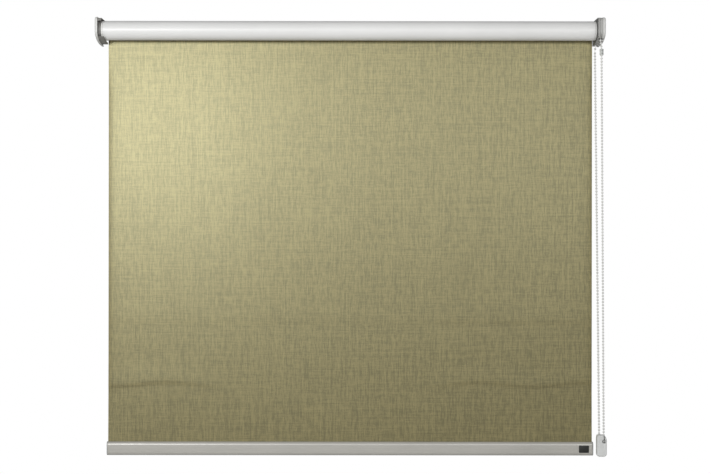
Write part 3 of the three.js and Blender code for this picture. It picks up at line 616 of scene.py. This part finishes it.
def build_connector():
    """A milky sleeve with two windows that the end beads snap into."""
    direction = (FRONT_ENTRY - FRONT_EXIT).normalized()
    outer, bore, length = 3.9 * MM, 2.6 * MM, 12.5 * MM
    profile = [(0, bore), (0, outer - 1.1 * MM), (0.3 * MM, outer - 0.6 * MM),
               (1.2 * MM, outer - 0.1 * MM), (2.4 * MM, outer), (4.6 * MM, outer - 0.15 * MM),
               (length / 2, outer - 0.45 * MM), (length - 4.6 * MM, outer - 0.15 * MM),
               (length - 2.4 * MM, outer), (length - 1.2 * MM, outer - 0.1 * MM),
               (length - 0.3 * MM, outer - 0.6 * MM), (length, outer - 1.1 * MM), (length, bore)]
    sleeve = turned("chain_connector_sleeve", profile, 40, 0.0)
    windows = [
        block("window", (centre - 1.7 * MM, -6 * MM, -0.9 * MM),
              (centre + 1.7 * MM, 6 * MM, 0.9 * MM))
        for centre in (3.6 * MM, length - 3.6 * MM)
    ]
    combine(sleeve, windows)
    turn = Vector((1, 0, 0)).rotation_difference(direction).to_matrix().to_4x4()
    sleeve.data.transform(Matrix.Translation(FRONT_EXIT + direction * 2 * MM) @ turn)
    soften(sleeve, 0.15 * MM, 2, 50)
    finish_piece(sleeve, "connector", CLEAR, ["chain_connector"])


def build_chain():
    path = free_chain_path()
    chain = bead_chain("bead_chain_loop", path)
    finish_piece(chain, "mount", BEADS,
                 ["chain_front_strand", "chain_rear_strand", "chain_lower_turn"])
    over = bead_chain("bead_chain_on_wheel", wheel_chain_path())
    finish_piece(over, "mount", BEADS, ["chain_over_wheel"])


# ------------------------------------------------------------------ brackets, covers and guard
TOP_CORNER = 7 * MM
SWEEP_DEPTH = 50 * MM
SWEEP_HEIGHT = 20 * MM
COVER_WALL = 1.6 * MM
COVER_FACE = 1.4 * MM
GAP = 0.3 * MM
COVER_CROWN = 2.4 * MM
PLATE_INSET = COVER_WALL + GAP
PLATE_THICKNESS = 1.8 * MM
FLANGE_THICKNESS = 2.4 * MM
FLANGE_TRIM = 4 * MM
FLANGE_HEIGHT = 33 * MM
FLANGE_CORNER = 3 * MM
SLOT_SPACING = 16 * MM
SLOT_RADIUS = 2.6 * MM
SLOT_REACH = 2.4 * MM
SLOT_TO_PLATE = 13 * MM
IDLE_HOLE_RADIUS = 7 * MM
CRADLE_REACH = 5.3 * MM
RIB_REACH = 4.8 * MM
HUB_SQUARE = 10 * MM
LIP_OPENING = 30 * MM
LIP_TO_SHEET = 3 * MM
UPPER_LIP = (4.5 * MM, 1.0 * MM, LIP_OPENING / 2, 30 * MM)
LOWER_LIP = (0.5 * MM, 3 * MM, -40 * MM, -LIP_OPENING / 2)
PLATE_LOW, PLATE_HIGH = corners("right_bracket")
PLATE_INNER_X = PLATE_HIGH.x - PLATE_THICKNESS
FLANGE_END_X = PLATE_LOW.x
GUARD_INNER_X = corners("drive_adaptor")[1].x + GAP
GUARD_WALL = 1.6 * MM
GUARD_INSET = 0.4 * MM
GUARD_TO_FLANGE = 0.8 * MM
GUARD_HOLE_RADIUS = 12.8 * MM
ARCH_INNER = 20.25 * MM
ARCH_OUTER = 21.65 * MM
GUARD_GROOVES = [GUARD_INNER_X + offset * MM for offset in (0.9, 3.7, 6.5)]
GROOVE_WIDTH = 1.1 * MM
GROOVE_DEPTH = 1.0 * MM
# Painted shade: the grooves are cut in the shape, and a dark band is painted over each one for the
# shade it would hold. A further dark band is painted over the lips, from the cloth's edge to the
# guard's inner wall, as a shaded outline.
GUARD_SHADE_BANDS = [(start, start + GROOVE_WIDTH) for start in GUARD_GROOVES]
GUARD_SHADE_BANDS.append((SHEET_HIGH.x, GUARD_INNER_X + 0.1 * MM))
GUARD_PLASTIC_PAINTED_SHADE = moulded("guard_moulding_painted_shade", (0.62, 0.62, 0.60), (0.52, 0.52, 0.50), 0.36,
                        line=(0.10, 0.10, 0.095), painted_shade_bands=GUARD_SHADE_BANDS)


def bracket_outline(inset, rear_y=0.0):
    """Square at the wall, a small radius at the top front and a long sweep at the bottom."""
    front = COVER_LOW.y + inset
    top, bottom = COVER_HIGH.z - inset, COVER_LOW.z + inset
    small = max(TOP_CORNER - inset, 0.5 * MM)
    deep, tall = SWEEP_DEPTH - inset, SWEEP_HEIGHT - inset
    points = [(rear_y, bottom), (rear_y, top)]
    points += arc(front + small, top - small, small, 90, 180, 10)
    for step in range(33):
        angle = math.radians(180 + 90 * step / 32)
        points.append((front + deep * (1 + math.cos(angle)), bottom + tall * (1 + math.sin(angle))))
    return points


def side_prism(name, outline, side, inner_x, outer_x):
    """A prism on the control side, or its mirror image on the idle side."""
    first, second = side * inner_x, side * outer_x
    return prism_x(name, outline, min(first, second), max(first, second))


def arched_outline(inner, outer, start, end, steps=40):
    points = arc(AXIS_Y, 0, outer, start, end, steps)
    points += arc(AXIS_Y, 0, inner, end, start, steps)
    return points


def build_cover(name, side, node, tools=()):
    """A snap-on cover: crowned face, round outer edges and an open back towards the wall."""
    outer_x = COVER_HIGH.x
    crown = COVER_CROWN
    loops = [[(side * COVER_LOW.x, y, z) for y, z in bracket_outline(0)]]
    for step in range(6):
        angle = math.radians(90 * step / 5)
        x = outer_x - crown * (1 - math.sin(angle))
        inset = crown * (1 - math.cos(angle)) * 0.9
        loops.append([(side * x, min(y, 0), z) for y, z in bracket_outline(inset)])
    shell = loft(name, loops)
    inside = side_prism("inside", bracket_outline(COVER_WALL, MM), side,
                        COVER_LOW.x - MM, outer_x - COVER_FACE - 1.2 * MM)
    step_in = side_prism("step", bracket_outline(COVER_WALL + 1.4 * MM, MM), side,
                         COVER_LOW.x - MM, outer_x - COVER_FACE)
    combine(shell, [inside, step_in, *tools])
    soften(shell, 0.3 * MM, 2, 40)
    finish_piece(shell, "mount", GREY_PLASTIC, [node])


def drill(x0, x1, radius, segments):
    """A round cutter on the roller's axis."""
    core = 0.1 * MM
    return turned("hole", [(x0, core), (x0, radius), (x1, radius), (x1, core)], segments)


def screw_slot(x, z):
    outline = arc(x, z + SLOT_REACH, SLOT_RADIUS, 0, 180, 10)
    outline += arc(x, z - SLOT_REACH, SLOT_RADIUS, 180, 360, 10)
    return prism_y("slot", outline, -FLANGE_THICKNESS - MM, MM)


def bracket_body(name, side):
    """The upright plate and its wall flange with two slots."""
    plate = side_prism(name, bracket_outline(PLATE_INSET), side, PLATE_INNER_X, PLATE_HIGH.x)
    flange_high = COVER_HIGH.z - FLANGE_TRIM
    flange_low = flange_high - FLANGE_HEIGHT
    corner = FLANGE_CORNER
    inner_x = side * FLANGE_END_X
    root_x = side * (PLATE_HIGH.x - 0.4 * MM)
    outline = [(root_x, flange_low),
               (inner_x + side * corner, flange_low)]
    outline += arc(inner_x + side * corner, flange_low + corner, corner,
                   270, 180 if side > 0 else 360, 6)[1:]
    outline += arc(inner_x + side * corner, flange_high - corner, corner,
                   180 if side > 0 else 360, 90 if side > 0 else 450, 6)
    outline.append((root_x, flange_high))
    flange = prism_y("flange", outline, -FLANGE_THICKNESS, 0)
    combine(plate, [flange], "UNION")
    middle_x = side * (PLATE_INNER_X - SLOT_TO_PLATE)
    middle_z = (flange_low + flange_high) / 2
    return combine(plate, [screw_slot(middle_x, middle_z + end * SLOT_SPACING / 2)
                           for end in (-1, 1)])


def roller_lips(side, inset, root_x):
    """A thin lip above the roller's end and a thick one below it, both short of the cloth."""
    lips = []
    for to_cloth, thickness, low_z, high_z in (UPPER_LIP, LOWER_LIP):
        tip_x = SHEET_HIGH.x + to_cloth
        lip = side_prism("lip", bracket_outline(inset), side, tip_x, root_x)
        inside = side_prism("inside", bracket_outline(inset + thickness, MM), side,
                            tip_x - MM, root_x + MM)
        combine(lip, [inside])
        reach = sorted((side * tip_x, side * root_x))
        room = block("room", (reach[0] - MM, COVER_LOW.y - MM, low_z),
                     (reach[1] + MM, SHEET_Y - LIP_TO_SHEET, high_z))
        lips.append(combine(lip, [room], "INTERSECT"))
    return lips


def build_left_bracket():
    bracket = bracket_body("idle_bracket", -1)
    cradle_outer = COVER_HIGH.z - COVER_WALL - 2 * GAP
    cradle_inner = cradle_outer - 2 * MM
    root_x = PLATE_INNER_X + 0.5 * MM
    ribs = [
        side_prism("cradle", arched_outline(cradle_inner, cradle_outer, 75, 285), -1,
                   PLATE_INNER_X - CRADLE_REACH, root_x),
        side_prism("rib", arched_outline(cradle_inner - 5 * MM, cradle_inner - 3.4 * MM, 85, 275),
                   -1, PLATE_INNER_X - RIB_REACH, root_x),
    ]
    ribs += roller_lips(-1, PLATE_INSET, root_x)
    combine(bracket, ribs, "UNION")
    combine(bracket, [drill(-PLATE_HIGH.x - MM, -PLATE_INNER_X + MM, IDLE_HOLE_RADIUS, 48)])
    soften(bracket, 0.35 * MM, 2, 40)
    finish_piece(bracket, "mount", DARK_PLASTIC, ["left_bracket"])


def build_right_bracket():
    bracket = bracket_body("control_bracket", 1)
    half = HUB_SQUARE / 2
    combine(bracket, [block("square", (PLATE_INNER_X - MM, AXIS_Y - half, -half),
                            (PLATE_HIGH.x + MM, AXIS_Y + half, half))])
    soften(bracket, 0.3 * MM, 2, 40)
    finish_piece(bracket, "mount", ZINC, ["right_bracket"])


def chain_exit_tool(point):
    half = CHAIN_DIAMETER / 2 + EXIT_MARGIN
    drift = 1.5 * MM if point.x > WHEEL_X else -1.5 * MM
    low_x, high_x = sorted((point.x + drift, WHEEL_X))
    return block("exit", (low_x - half, point.y - half, point.z - MM),
                 (high_x + half, point.y + half, EXIT_TOP))


def build_guard():
    """The housing round the chain wheel, with lips towards the roller and grooves, and painted shade
    in the grooves and on the lips.
    """
    high = corners("chain_guard")[1]
    rear = -FLANGE_THICKNESS - GUARD_TO_FLANGE
    wall, inset = GUARD_WALL, GUARD_INSET
    inner_x = GUARD_INNER_X
    shell = prism_x("wheel_guard", bracket_outline(inset, rear), inner_x, high.x)
    inside = prism_x("inside", bracket_outline(inset + wall, rear - wall), inner_x + wall,
                     high.x + MM)
    combine(shell, [inside])
    arch = prism_x("arch", arched_outline(ARCH_INNER, ARCH_OUTER, -8, 188), inner_x + wall / 2,
                   high.x - MM)
    combine(shell, [arch, *roller_lips(1, inset, inner_x + 0.5 * MM)], "UNION")
    for groove_x in GUARD_GROOVES:
        groove = prism_x("groove", bracket_outline(-MM, 2 * MM), groove_x,
                         groove_x + GROOVE_WIDTH)
        combine(groove, [prism_x("core", bracket_outline(inset + GROOVE_DEPTH, 3 * MM),
                                 groove_x - MM, groove_x + 2 * MM)])
        combine(shell, [groove])
    hole = drill(inner_x - MM, inner_x + wall + 0.5 * MM, GUARD_HOLE_RADIUS, 64)
    combine(shell, [hole, chain_exit_tool(FRONT_EXIT), chain_exit_tool(REAR_EXIT)])
    soften(shell, 0.25 * MM, 2, 40)
    finish_piece(shell, "mount", GUARD_PLASTIC_PAINTED_SHADE, ["chain_guard"])


# ------------------------------------------------------------------ roller
TUBE_WALL = 1.4 * MM
TUBE_EDGE = 0.25 * MM
IDLE_BORE = 4.0 * MM
DRIVE_BORE = 12.5 * MM
COLLAR_LENGTH = 2.7 * MM
QUARTERS = (45, 135, 225, 315)


def round_axis(piece, angle):
    """Turns a piece made at the origin by an angle and puts it on the roller's axis."""
    piece.data.transform(Matrix.Translation((0, AXIS_Y, 0))
                         @ Matrix.Rotation(math.radians(angle), 4, "X"))
    return piece


def build_roller():
    wall, edge = TUBE_WALL, TUBE_EDGE
    inner = TUBE_RADIUS - wall
    tube = turned("roller_tube_shell", [
        (TUBE_LOW.x, inner), (TUBE_LOW.x, TUBE_RADIUS - edge), (TUBE_LOW.x + edge, TUBE_RADIUS),
        (TUBE_HIGH.x - edge, TUBE_RADIUS), (TUBE_HIGH.x, TUBE_RADIUS - edge),
        (TUBE_HIGH.x, inner)], 128)
    keys = []
    for angle in QUARTERS:
        key = block("key", (TUBE_LOW.x + MM, inner - 2 * MM, -1.5 * MM),
                    (TUBE_HIGH.x - MM, inner + wall / 2, 1.5 * MM))
        keys.append(round_axis(key, angle))
    combine(tube, keys, "UNION")
    finish_piece(tube, "roller", WHITE_TUBE, ["roller_tube"])
    build_plug("idle_plug_moulding", "idle_end_plug", -1, IDLE_BORE)
    build_plug("drive_adaptor_moulding", "drive_adaptor", 1, DRIVE_BORE)


def build_plug(name, node, side, bore):
    """A ribbed sleeve inside the tube with a collar the size of the tube outside it."""
    low, high = corners(node)
    outer, inner = (high.x, low.x) if side > 0 else (low.x, high.x)
    collar = outer - side * COLLAR_LENGTH
    sleeve = TUBE_RADIUS - 1.8 * MM
    round_ = 0.7 * MM
    profile = [(inner, bore), (inner, sleeve - MM), (inner + side * 3 * MM, sleeve),
               (collar, sleeve), (collar, TUBE_RADIUS - 0.2 * MM),
               (collar + side * 0.2 * MM, TUBE_RADIUS),
               (outer - side * round_, TUBE_RADIUS),
               (outer - side * round_ * 0.3, TUBE_RADIUS - round_ * 0.3),
               (outer, TUBE_RADIUS - round_), (outer, TUBE_RADIUS - 3 * MM),
               (outer - side * 0.6 * MM, TUBE_RADIUS - 3.5 * MM),
               (outer - side * 0.6 * MM, bore + 2.5 * MM), (outer, bore + 2 * MM), (outer, bore)]
    plug = turned(name, profile, 96)
    slots = []
    slot_x = sorted((inner - side * MM, collar - side * 0.1 * MM))
    for angle in QUARTERS:
        slot = block("slot", (slot_x[0], TUBE_RADIUS - 3.7 * MM, -1.8 * MM),
                     (slot_x[1], TUBE_RADIUS + MM, 1.8 * MM))
        slots.append(round_axis(slot, angle))
    combine(plug, slots)
    finish_piece(plug, "roller", WHITE_PLASTIC, [node])


def build_bush():
    low, high = corners("idle_bush")
    bore, body, flange, edge = 4 * MM, 6.7 * MM, 11 * MM, 0.5 * MM
    step_x = high.x - 4 * MM
    bush = turned("idle_bush_moulding", [
        (low.x, bore), (low.x, body - edge), (low.x + edge, body), (step_x, body),
        (step_x, flange - edge), (step_x + edge, flange), (high.x - edge, flange),
        (high.x, flange - edge), (high.x, bore)], 64)
    finish_piece(bush, "mount", WHITE_PLASTIC, ["idle_bush"])


# ------------------------------------------------------------------ cloth
CLOTH_THICKNESS = 0.5 * MM
CLOTH_COLUMNS = 300
CLOTH_ROWS = 260


FOLD_Z = -0.700
BAND_Z = -0.574


def ridge(up, height, above, below):
    """A crease across the cloth: it swells out gently and falls back sharply under the fold."""
    reach = above if up > 0 else below
    return height * math.exp(-(up / reach) ** 2)


def ripple(x, z):
    """How far the hanging cloth stands out of its plane at a point."""
    drop = min(1.0, max(0.0, -z / 0.12)) * min(1.0, max(0.0, (z - SHEET_LOW.z) / 0.10))
    slow = noise.noise(Vector((x * 2.6, 3.1, z * 1.1))) * 1.5 * MM
    soft = noise.noise(Vector((x * 9.0, 7.7, z * 0.9))) * 0.5 * MM
    edge = min(x - SHEET_LOW.x, SHEET_HIGH.x - x)
    curl = 1.8 * MM * math.exp(-edge / (9 * MM))
    fold_left = max(0.0, 1 - max(0.0, x + 0.36) / 0.12)
    fold_right = max(0.0, 1 - max(0.0, 0.24 - x) / 0.10)
    fold_up = z - FOLD_Z - 0.004 * math.sin(x * 30)
    crease = ridge(fold_up, 0.55 * MM, 24 * MM, 5 * MM) * (fold_left + 0.9 * fold_right)
    band = ridge(z - BAND_Z, 0.26 * MM, 30 * MM, 7 * MM) * (0.4 + 0.6 * fold_right)
    return drop * (slow + soft + curl - crease - band)


def build_cloth():
    """The hanging sheet, front and back, with its cut edges."""
    columns, rows = CLOTH_COLUMNS, CLOTH_ROWS
    bm = bmesh.new()
    width, height = SHEET_HIGH.x - SHEET_LOW.x, SHEET_HIGH.z - SHEET_LOW.z
    sides = []
    for offset in (-CLOTH_THICKNESS / 2, CLOTH_THICKNESS / 2):
        grid = []
        for row in range(rows + 1):
            z = SHEET_HIGH.z - height * row / rows
            line = []
            for column in range(columns + 1):
                x = SHEET_LOW.x + width * column / columns
                line.append(bm.verts.new((x, SHEET_Y + offset + ripple(x, z), z)))
            grid.append(line)
        sides.append(grid)
    front, back = sides
    for row in range(rows):
        for column in range(columns):
            for grid in sides:
                bm.faces.new((grid[row][column], grid[row][column + 1],
                              grid[row + 1][column + 1], grid[row + 1][column]))
    for row in range(rows):
        for column in (0, columns):
            bm.faces.new((front[row][column], front[row + 1][column],
                          back[row + 1][column], back[row][column]))
    for column in range(columns):
        for row in (0, rows):
            bm.faces.new((front[row][column], front[row][column + 1],
                          back[row][column + 1], back[row][column]))
    cloth = to_object("hanging_cloth", bm)
    finish_piece(cloth, "mount", CLOTH, ["fabric_sheet"], 60)
    return cloth


def build_top_edge():
    """The cloth's top edge, taped round the back of the tube."""
    low, high = corners("fabric_top_edge")
    middle = SHEET_Y - AXIS_Y
    angle = math.degrees(math.asin(high.z / (middle + CLOTH_THICKNESS / 2)))
    outline = arc(AXIS_Y, 0, middle + CLOTH_THICKNESS / 2, 0.5, angle, 32)
    outline += arc(AXIS_Y, 0, middle - CLOTH_THICKNESS / 2, angle, 0.5, 32)
    edge = prism_x("cloth_top_edge", outline, low.x, high.x)
    finish_piece(edge, "roller", CLOTH, ["fabric_top_edge"])
    return edge


# ------------------------------------------------------------------ bottom bar
BAR_WALL = 1.2 * MM
BAR_RADIUS = (BAR_HIGH.y - BAR_LOW.y) / 2
BAR_MIDDLE_Y = (BAR_HIGH.y + BAR_LOW.y) / 2
CAP_TOP, CAP_BOTTOM = CAP_HIGH.z, CAP_LOW.z


def bar_oval(inset, steps=20):
    """The bar's flat-sided oval."""
    radius = BAR_RADIUS - inset
    points = arc(BAR_MIDDLE_Y, CAP_TOP - BAR_RADIUS, radius, 0, 180, steps)
    points += arc(BAR_MIDDLE_Y, CAP_BOTTOM + BAR_RADIUS, radius, 180, 360, steps)
    return points


def bar_chambers():
    """The cloth channel under the slot, and the hollow below it."""
    spline_low = corners("fabric_spline")[0].z
    floor = spline_low - GAP
    beyond = 2 * MM
    low_x, high_x = BAR_LOW.x - beyond, BAR_HIGH.x + beyond
    inner_top = CAP_TOP - BAR_WALL
    oval = bar_oval(BAR_WALL)
    channel = [(y, z) for y, z in oval if z > floor]
    edge = math.sqrt((BAR_RADIUS - BAR_WALL) ** 2
                     - max(0.0, floor - (CAP_TOP - BAR_RADIUS)) ** 2)
    channel += [(BAR_MIDDLE_Y - edge, floor), (BAR_MIDDLE_Y + edge, floor)]
    ceiling = floor - BAR_WALL
    hollow = [(BAR_MIDDLE_Y + BAR_RADIUS - BAR_WALL, ceiling)]
    hollow += [(BAR_MIDDLE_Y - BAR_RADIUS + BAR_WALL, ceiling)]
    hollow += arc(BAR_MIDDLE_Y, CAP_BOTTOM + BAR_RADIUS, BAR_RADIUS - BAR_WALL, 180, 360, 20)
    slot = 1.2 * MM
    return [prism_x("channel", channel, low_x, high_x), prism_x("hollow", hollow, low_x, high_x),
            block("slot", (low_x, BAR_MIDDLE_Y - slot, inner_top - BAR_WALL),
                  (high_x, BAR_MIDDLE_Y + slot, CAP_TOP + MM))]


def build_bar():
    bar = prism_x("bottom_bar_extrusion", bar_oval(0), BAR_LOW.x, BAR_HIGH.x)
    combine(bar, bar_chambers())
    finish_piece(bar, "bottom_bar", BAR_PAINT, ["bottom_bar_profile"], 30)
    for side, node in ((-1, "bar_end_cap_left"), (1, "bar_end_cap_right")):
        low, high = corners(node)
        outer, inner = (high.x, low.x) if side > 0 else (low.x, high.x)
        face_x = outer - side * 1.5 * MM
        crown = 0.8 * MM
        loops = [[(face_x, y, z) for y, z in bar_oval(0)]]
        for step in range(5):
            angle = math.radians(90 * step / 4)
            x = outer - side * crown * (1 - math.sin(angle))
            loops.append([(x, y, z) for y, z in bar_oval(crown * (1 - math.cos(angle)))])
        cap = loft("end_cap_" + ("left" if side < 0 else "right"), loops)
        tongue_x = sorted((inner, face_x + side * 0.5 * MM))
        tongue = prism_x("tongue", arc(BAR_MIDDLE_Y, CAP_BOTTOM + BAR_RADIUS,
                                       BAR_RADIUS - BAR_WALL - GAP, 180, 360, 20), *tongue_x)
        combine(cap, [tongue], "UNION")
        finish_piece(cap, "bottom_bar", BAR_CAP, [node], 40)


def build_tag():
    """A plain dark tag with round corners on the bar's front."""
    low, high = corners("blank_tag")
    corner = 1.6 * MM
    outline = (arc(high.x - corner, high.z - corner, corner, 0, 90, 6)
               + arc(low.x + corner, high.z - corner, corner, 90, 180, 6)
               + arc(low.x + corner, low.z + corner, corner, 180, 270, 6)
               + arc(high.x - corner, low.z + corner, corner, 270, 360, 6))
    tag = prism_y("blank_bar_tag", outline, low.y, high.y)
    soften(tag, 0.15 * MM, 2, 50)
    finish_piece(tag, "bottom_bar", DARK_TAG, ["blank_tag"])


# ------------------------------------------------------------------ pieces kept from the frame
def dress_kept_nodes():
    """CAD pieces whose shape is right keep it and get a real finish."""
    finishes = {
        "drive_hub": DARK_PLASTIC, "chain_wheel": DARK_PLASTIC, "hub_screw": ZINC,
        "hub_clip": SPRING_STEEL, "brake_spring_1": SPRING_STEEL,
        "brake_spring_2": SPRING_STEEL, "brake_spring_3": SPRING_STEEL, "idle_pin": ZINC,
        "pin_spring": SPRING_STEEL, "fixing_tape": TAPE, "fabric_spline": WHITE_PLASTIC,
        "weight_core": ZINC, "weight_turn_post": WHITE_PLASTIC,
    }
    for node, material in finishes.items():
        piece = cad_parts[node]
        for slot in piece.material_slots:
            slot.material = material


# ------------------------------------------------------------------ stage and light
FLOOR_Z = -0.95
LIGHT_FROM_BELOW = 0.34
LIGHT_FROM_ABOVE = 0.20


def build_stage():
    """A plain pale floor below the blind, and a plain white surround."""
    bm = bmesh.new()
    low, high = (-1.5, -2.6, FLOOR_Z), (1.5, 0.3, FLOOR_Z)
    bm.faces.new([bm.verts.new(point) for point in (
        low, (high[0], low[1], FLOOR_Z), high, (low[0], high[1], FLOOR_Z))])
    floor = to_object("floor", bm)
    graph = Graph("pale_floor")
    cloud = graph.noise(3.0, 4.0, 0.6)
    graph.colour(graph.mix(graph.span(cloud, 0.3, 0.7), (0.70, 0.70, 0.69), (0.74, 0.74, 0.73)))
    graph.set(Roughness=0.8)
    floor.data.materials.append(graph.material)
    world = bpy.data.worlds.new("surround")
    world.use_nodes = True
    nodes, links = world.node_tree.nodes, world.node_tree.links
    background = nodes["Background"]
    background.inputs["Color"].default_value = (1.0, 1.0, 1.0, 1.0)
    split = nodes.new("ShaderNodeSeparateXYZ")
    links.new(nodes.new("ShaderNodeTexCoord").outputs["Generated"], split.inputs["Vector"])
    surround = nodes.new("ShaderNodeMapRange")
    surround.inputs["From Min"].default_value = -0.5
    surround.inputs["From Max"].default_value = 0.8
    surround.inputs["To Min"].default_value = LIGHT_FROM_BELOW
    surround.inputs["To Max"].default_value = LIGHT_FROM_ABOVE
    links.new(split.outputs["Z"], surround.inputs["Value"])
    seen = nodes.new("ShaderNodeMapRange")
    seen.inputs["To Max"].default_value = 1.0
    links.new(surround.outputs["Result"], seen.inputs["To Min"])
    links.new(nodes.new("ShaderNodeLightPath").outputs["Is Camera Ray"], seen.inputs["Value"])
    links.new(seen.outputs["Result"], background.inputs["Strength"])
    bpy.context.scene.world = world
    bpy.context.scene.view_settings.view_transform = "Standard"


def area_light(name, place, target, size, power):
    data = bpy.data.lights.new(name, "AREA")
    data.shape = "RECTANGLE"
    data.size, data.size_y = size
    data.energy = power
    lamp = bpy.data.objects.new(name, data)
    lamp.location = place
    lamp.rotation_euler = (Vector(target) - Vector(place)).to_track_quat("-Z", "Y").to_euler()
    bpy.context.scene.collection.objects.link(lamp)


def build_lights():
    area_light("key", (-0.95, -2.2, 0.08), (-0.30, 0.0, -0.20), (0.6, 0.6), 23.5)
    area_light("fill", (0.50, -2.6, 0.22), (0.36, 0.0, -0.2), (2.4, 0.6), 17.5)
    area_light("bounce", (1.0, -2.3, -0.30), (0.40, 0.0, -0.20), (0.8, 0.4), 2.5)


build_camera()
weight_pieces = build_weight()
build_chain()
build_connector()
build_cover("idle_cover", -1, "left_bracket_cover")
build_cover("control_cover", 1, "right_bracket_cover", [chain_exit_tool(FRONT_EXIT)])
build_left_bracket()
build_right_bracket()
build_guard()
build_roller()
build_bush()
cloth = build_cloth()
top_edge = build_top_edge()
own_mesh(cloth)
build_bar()
build_tag()
dress_kept_nodes()
build_stage()
build_lights()
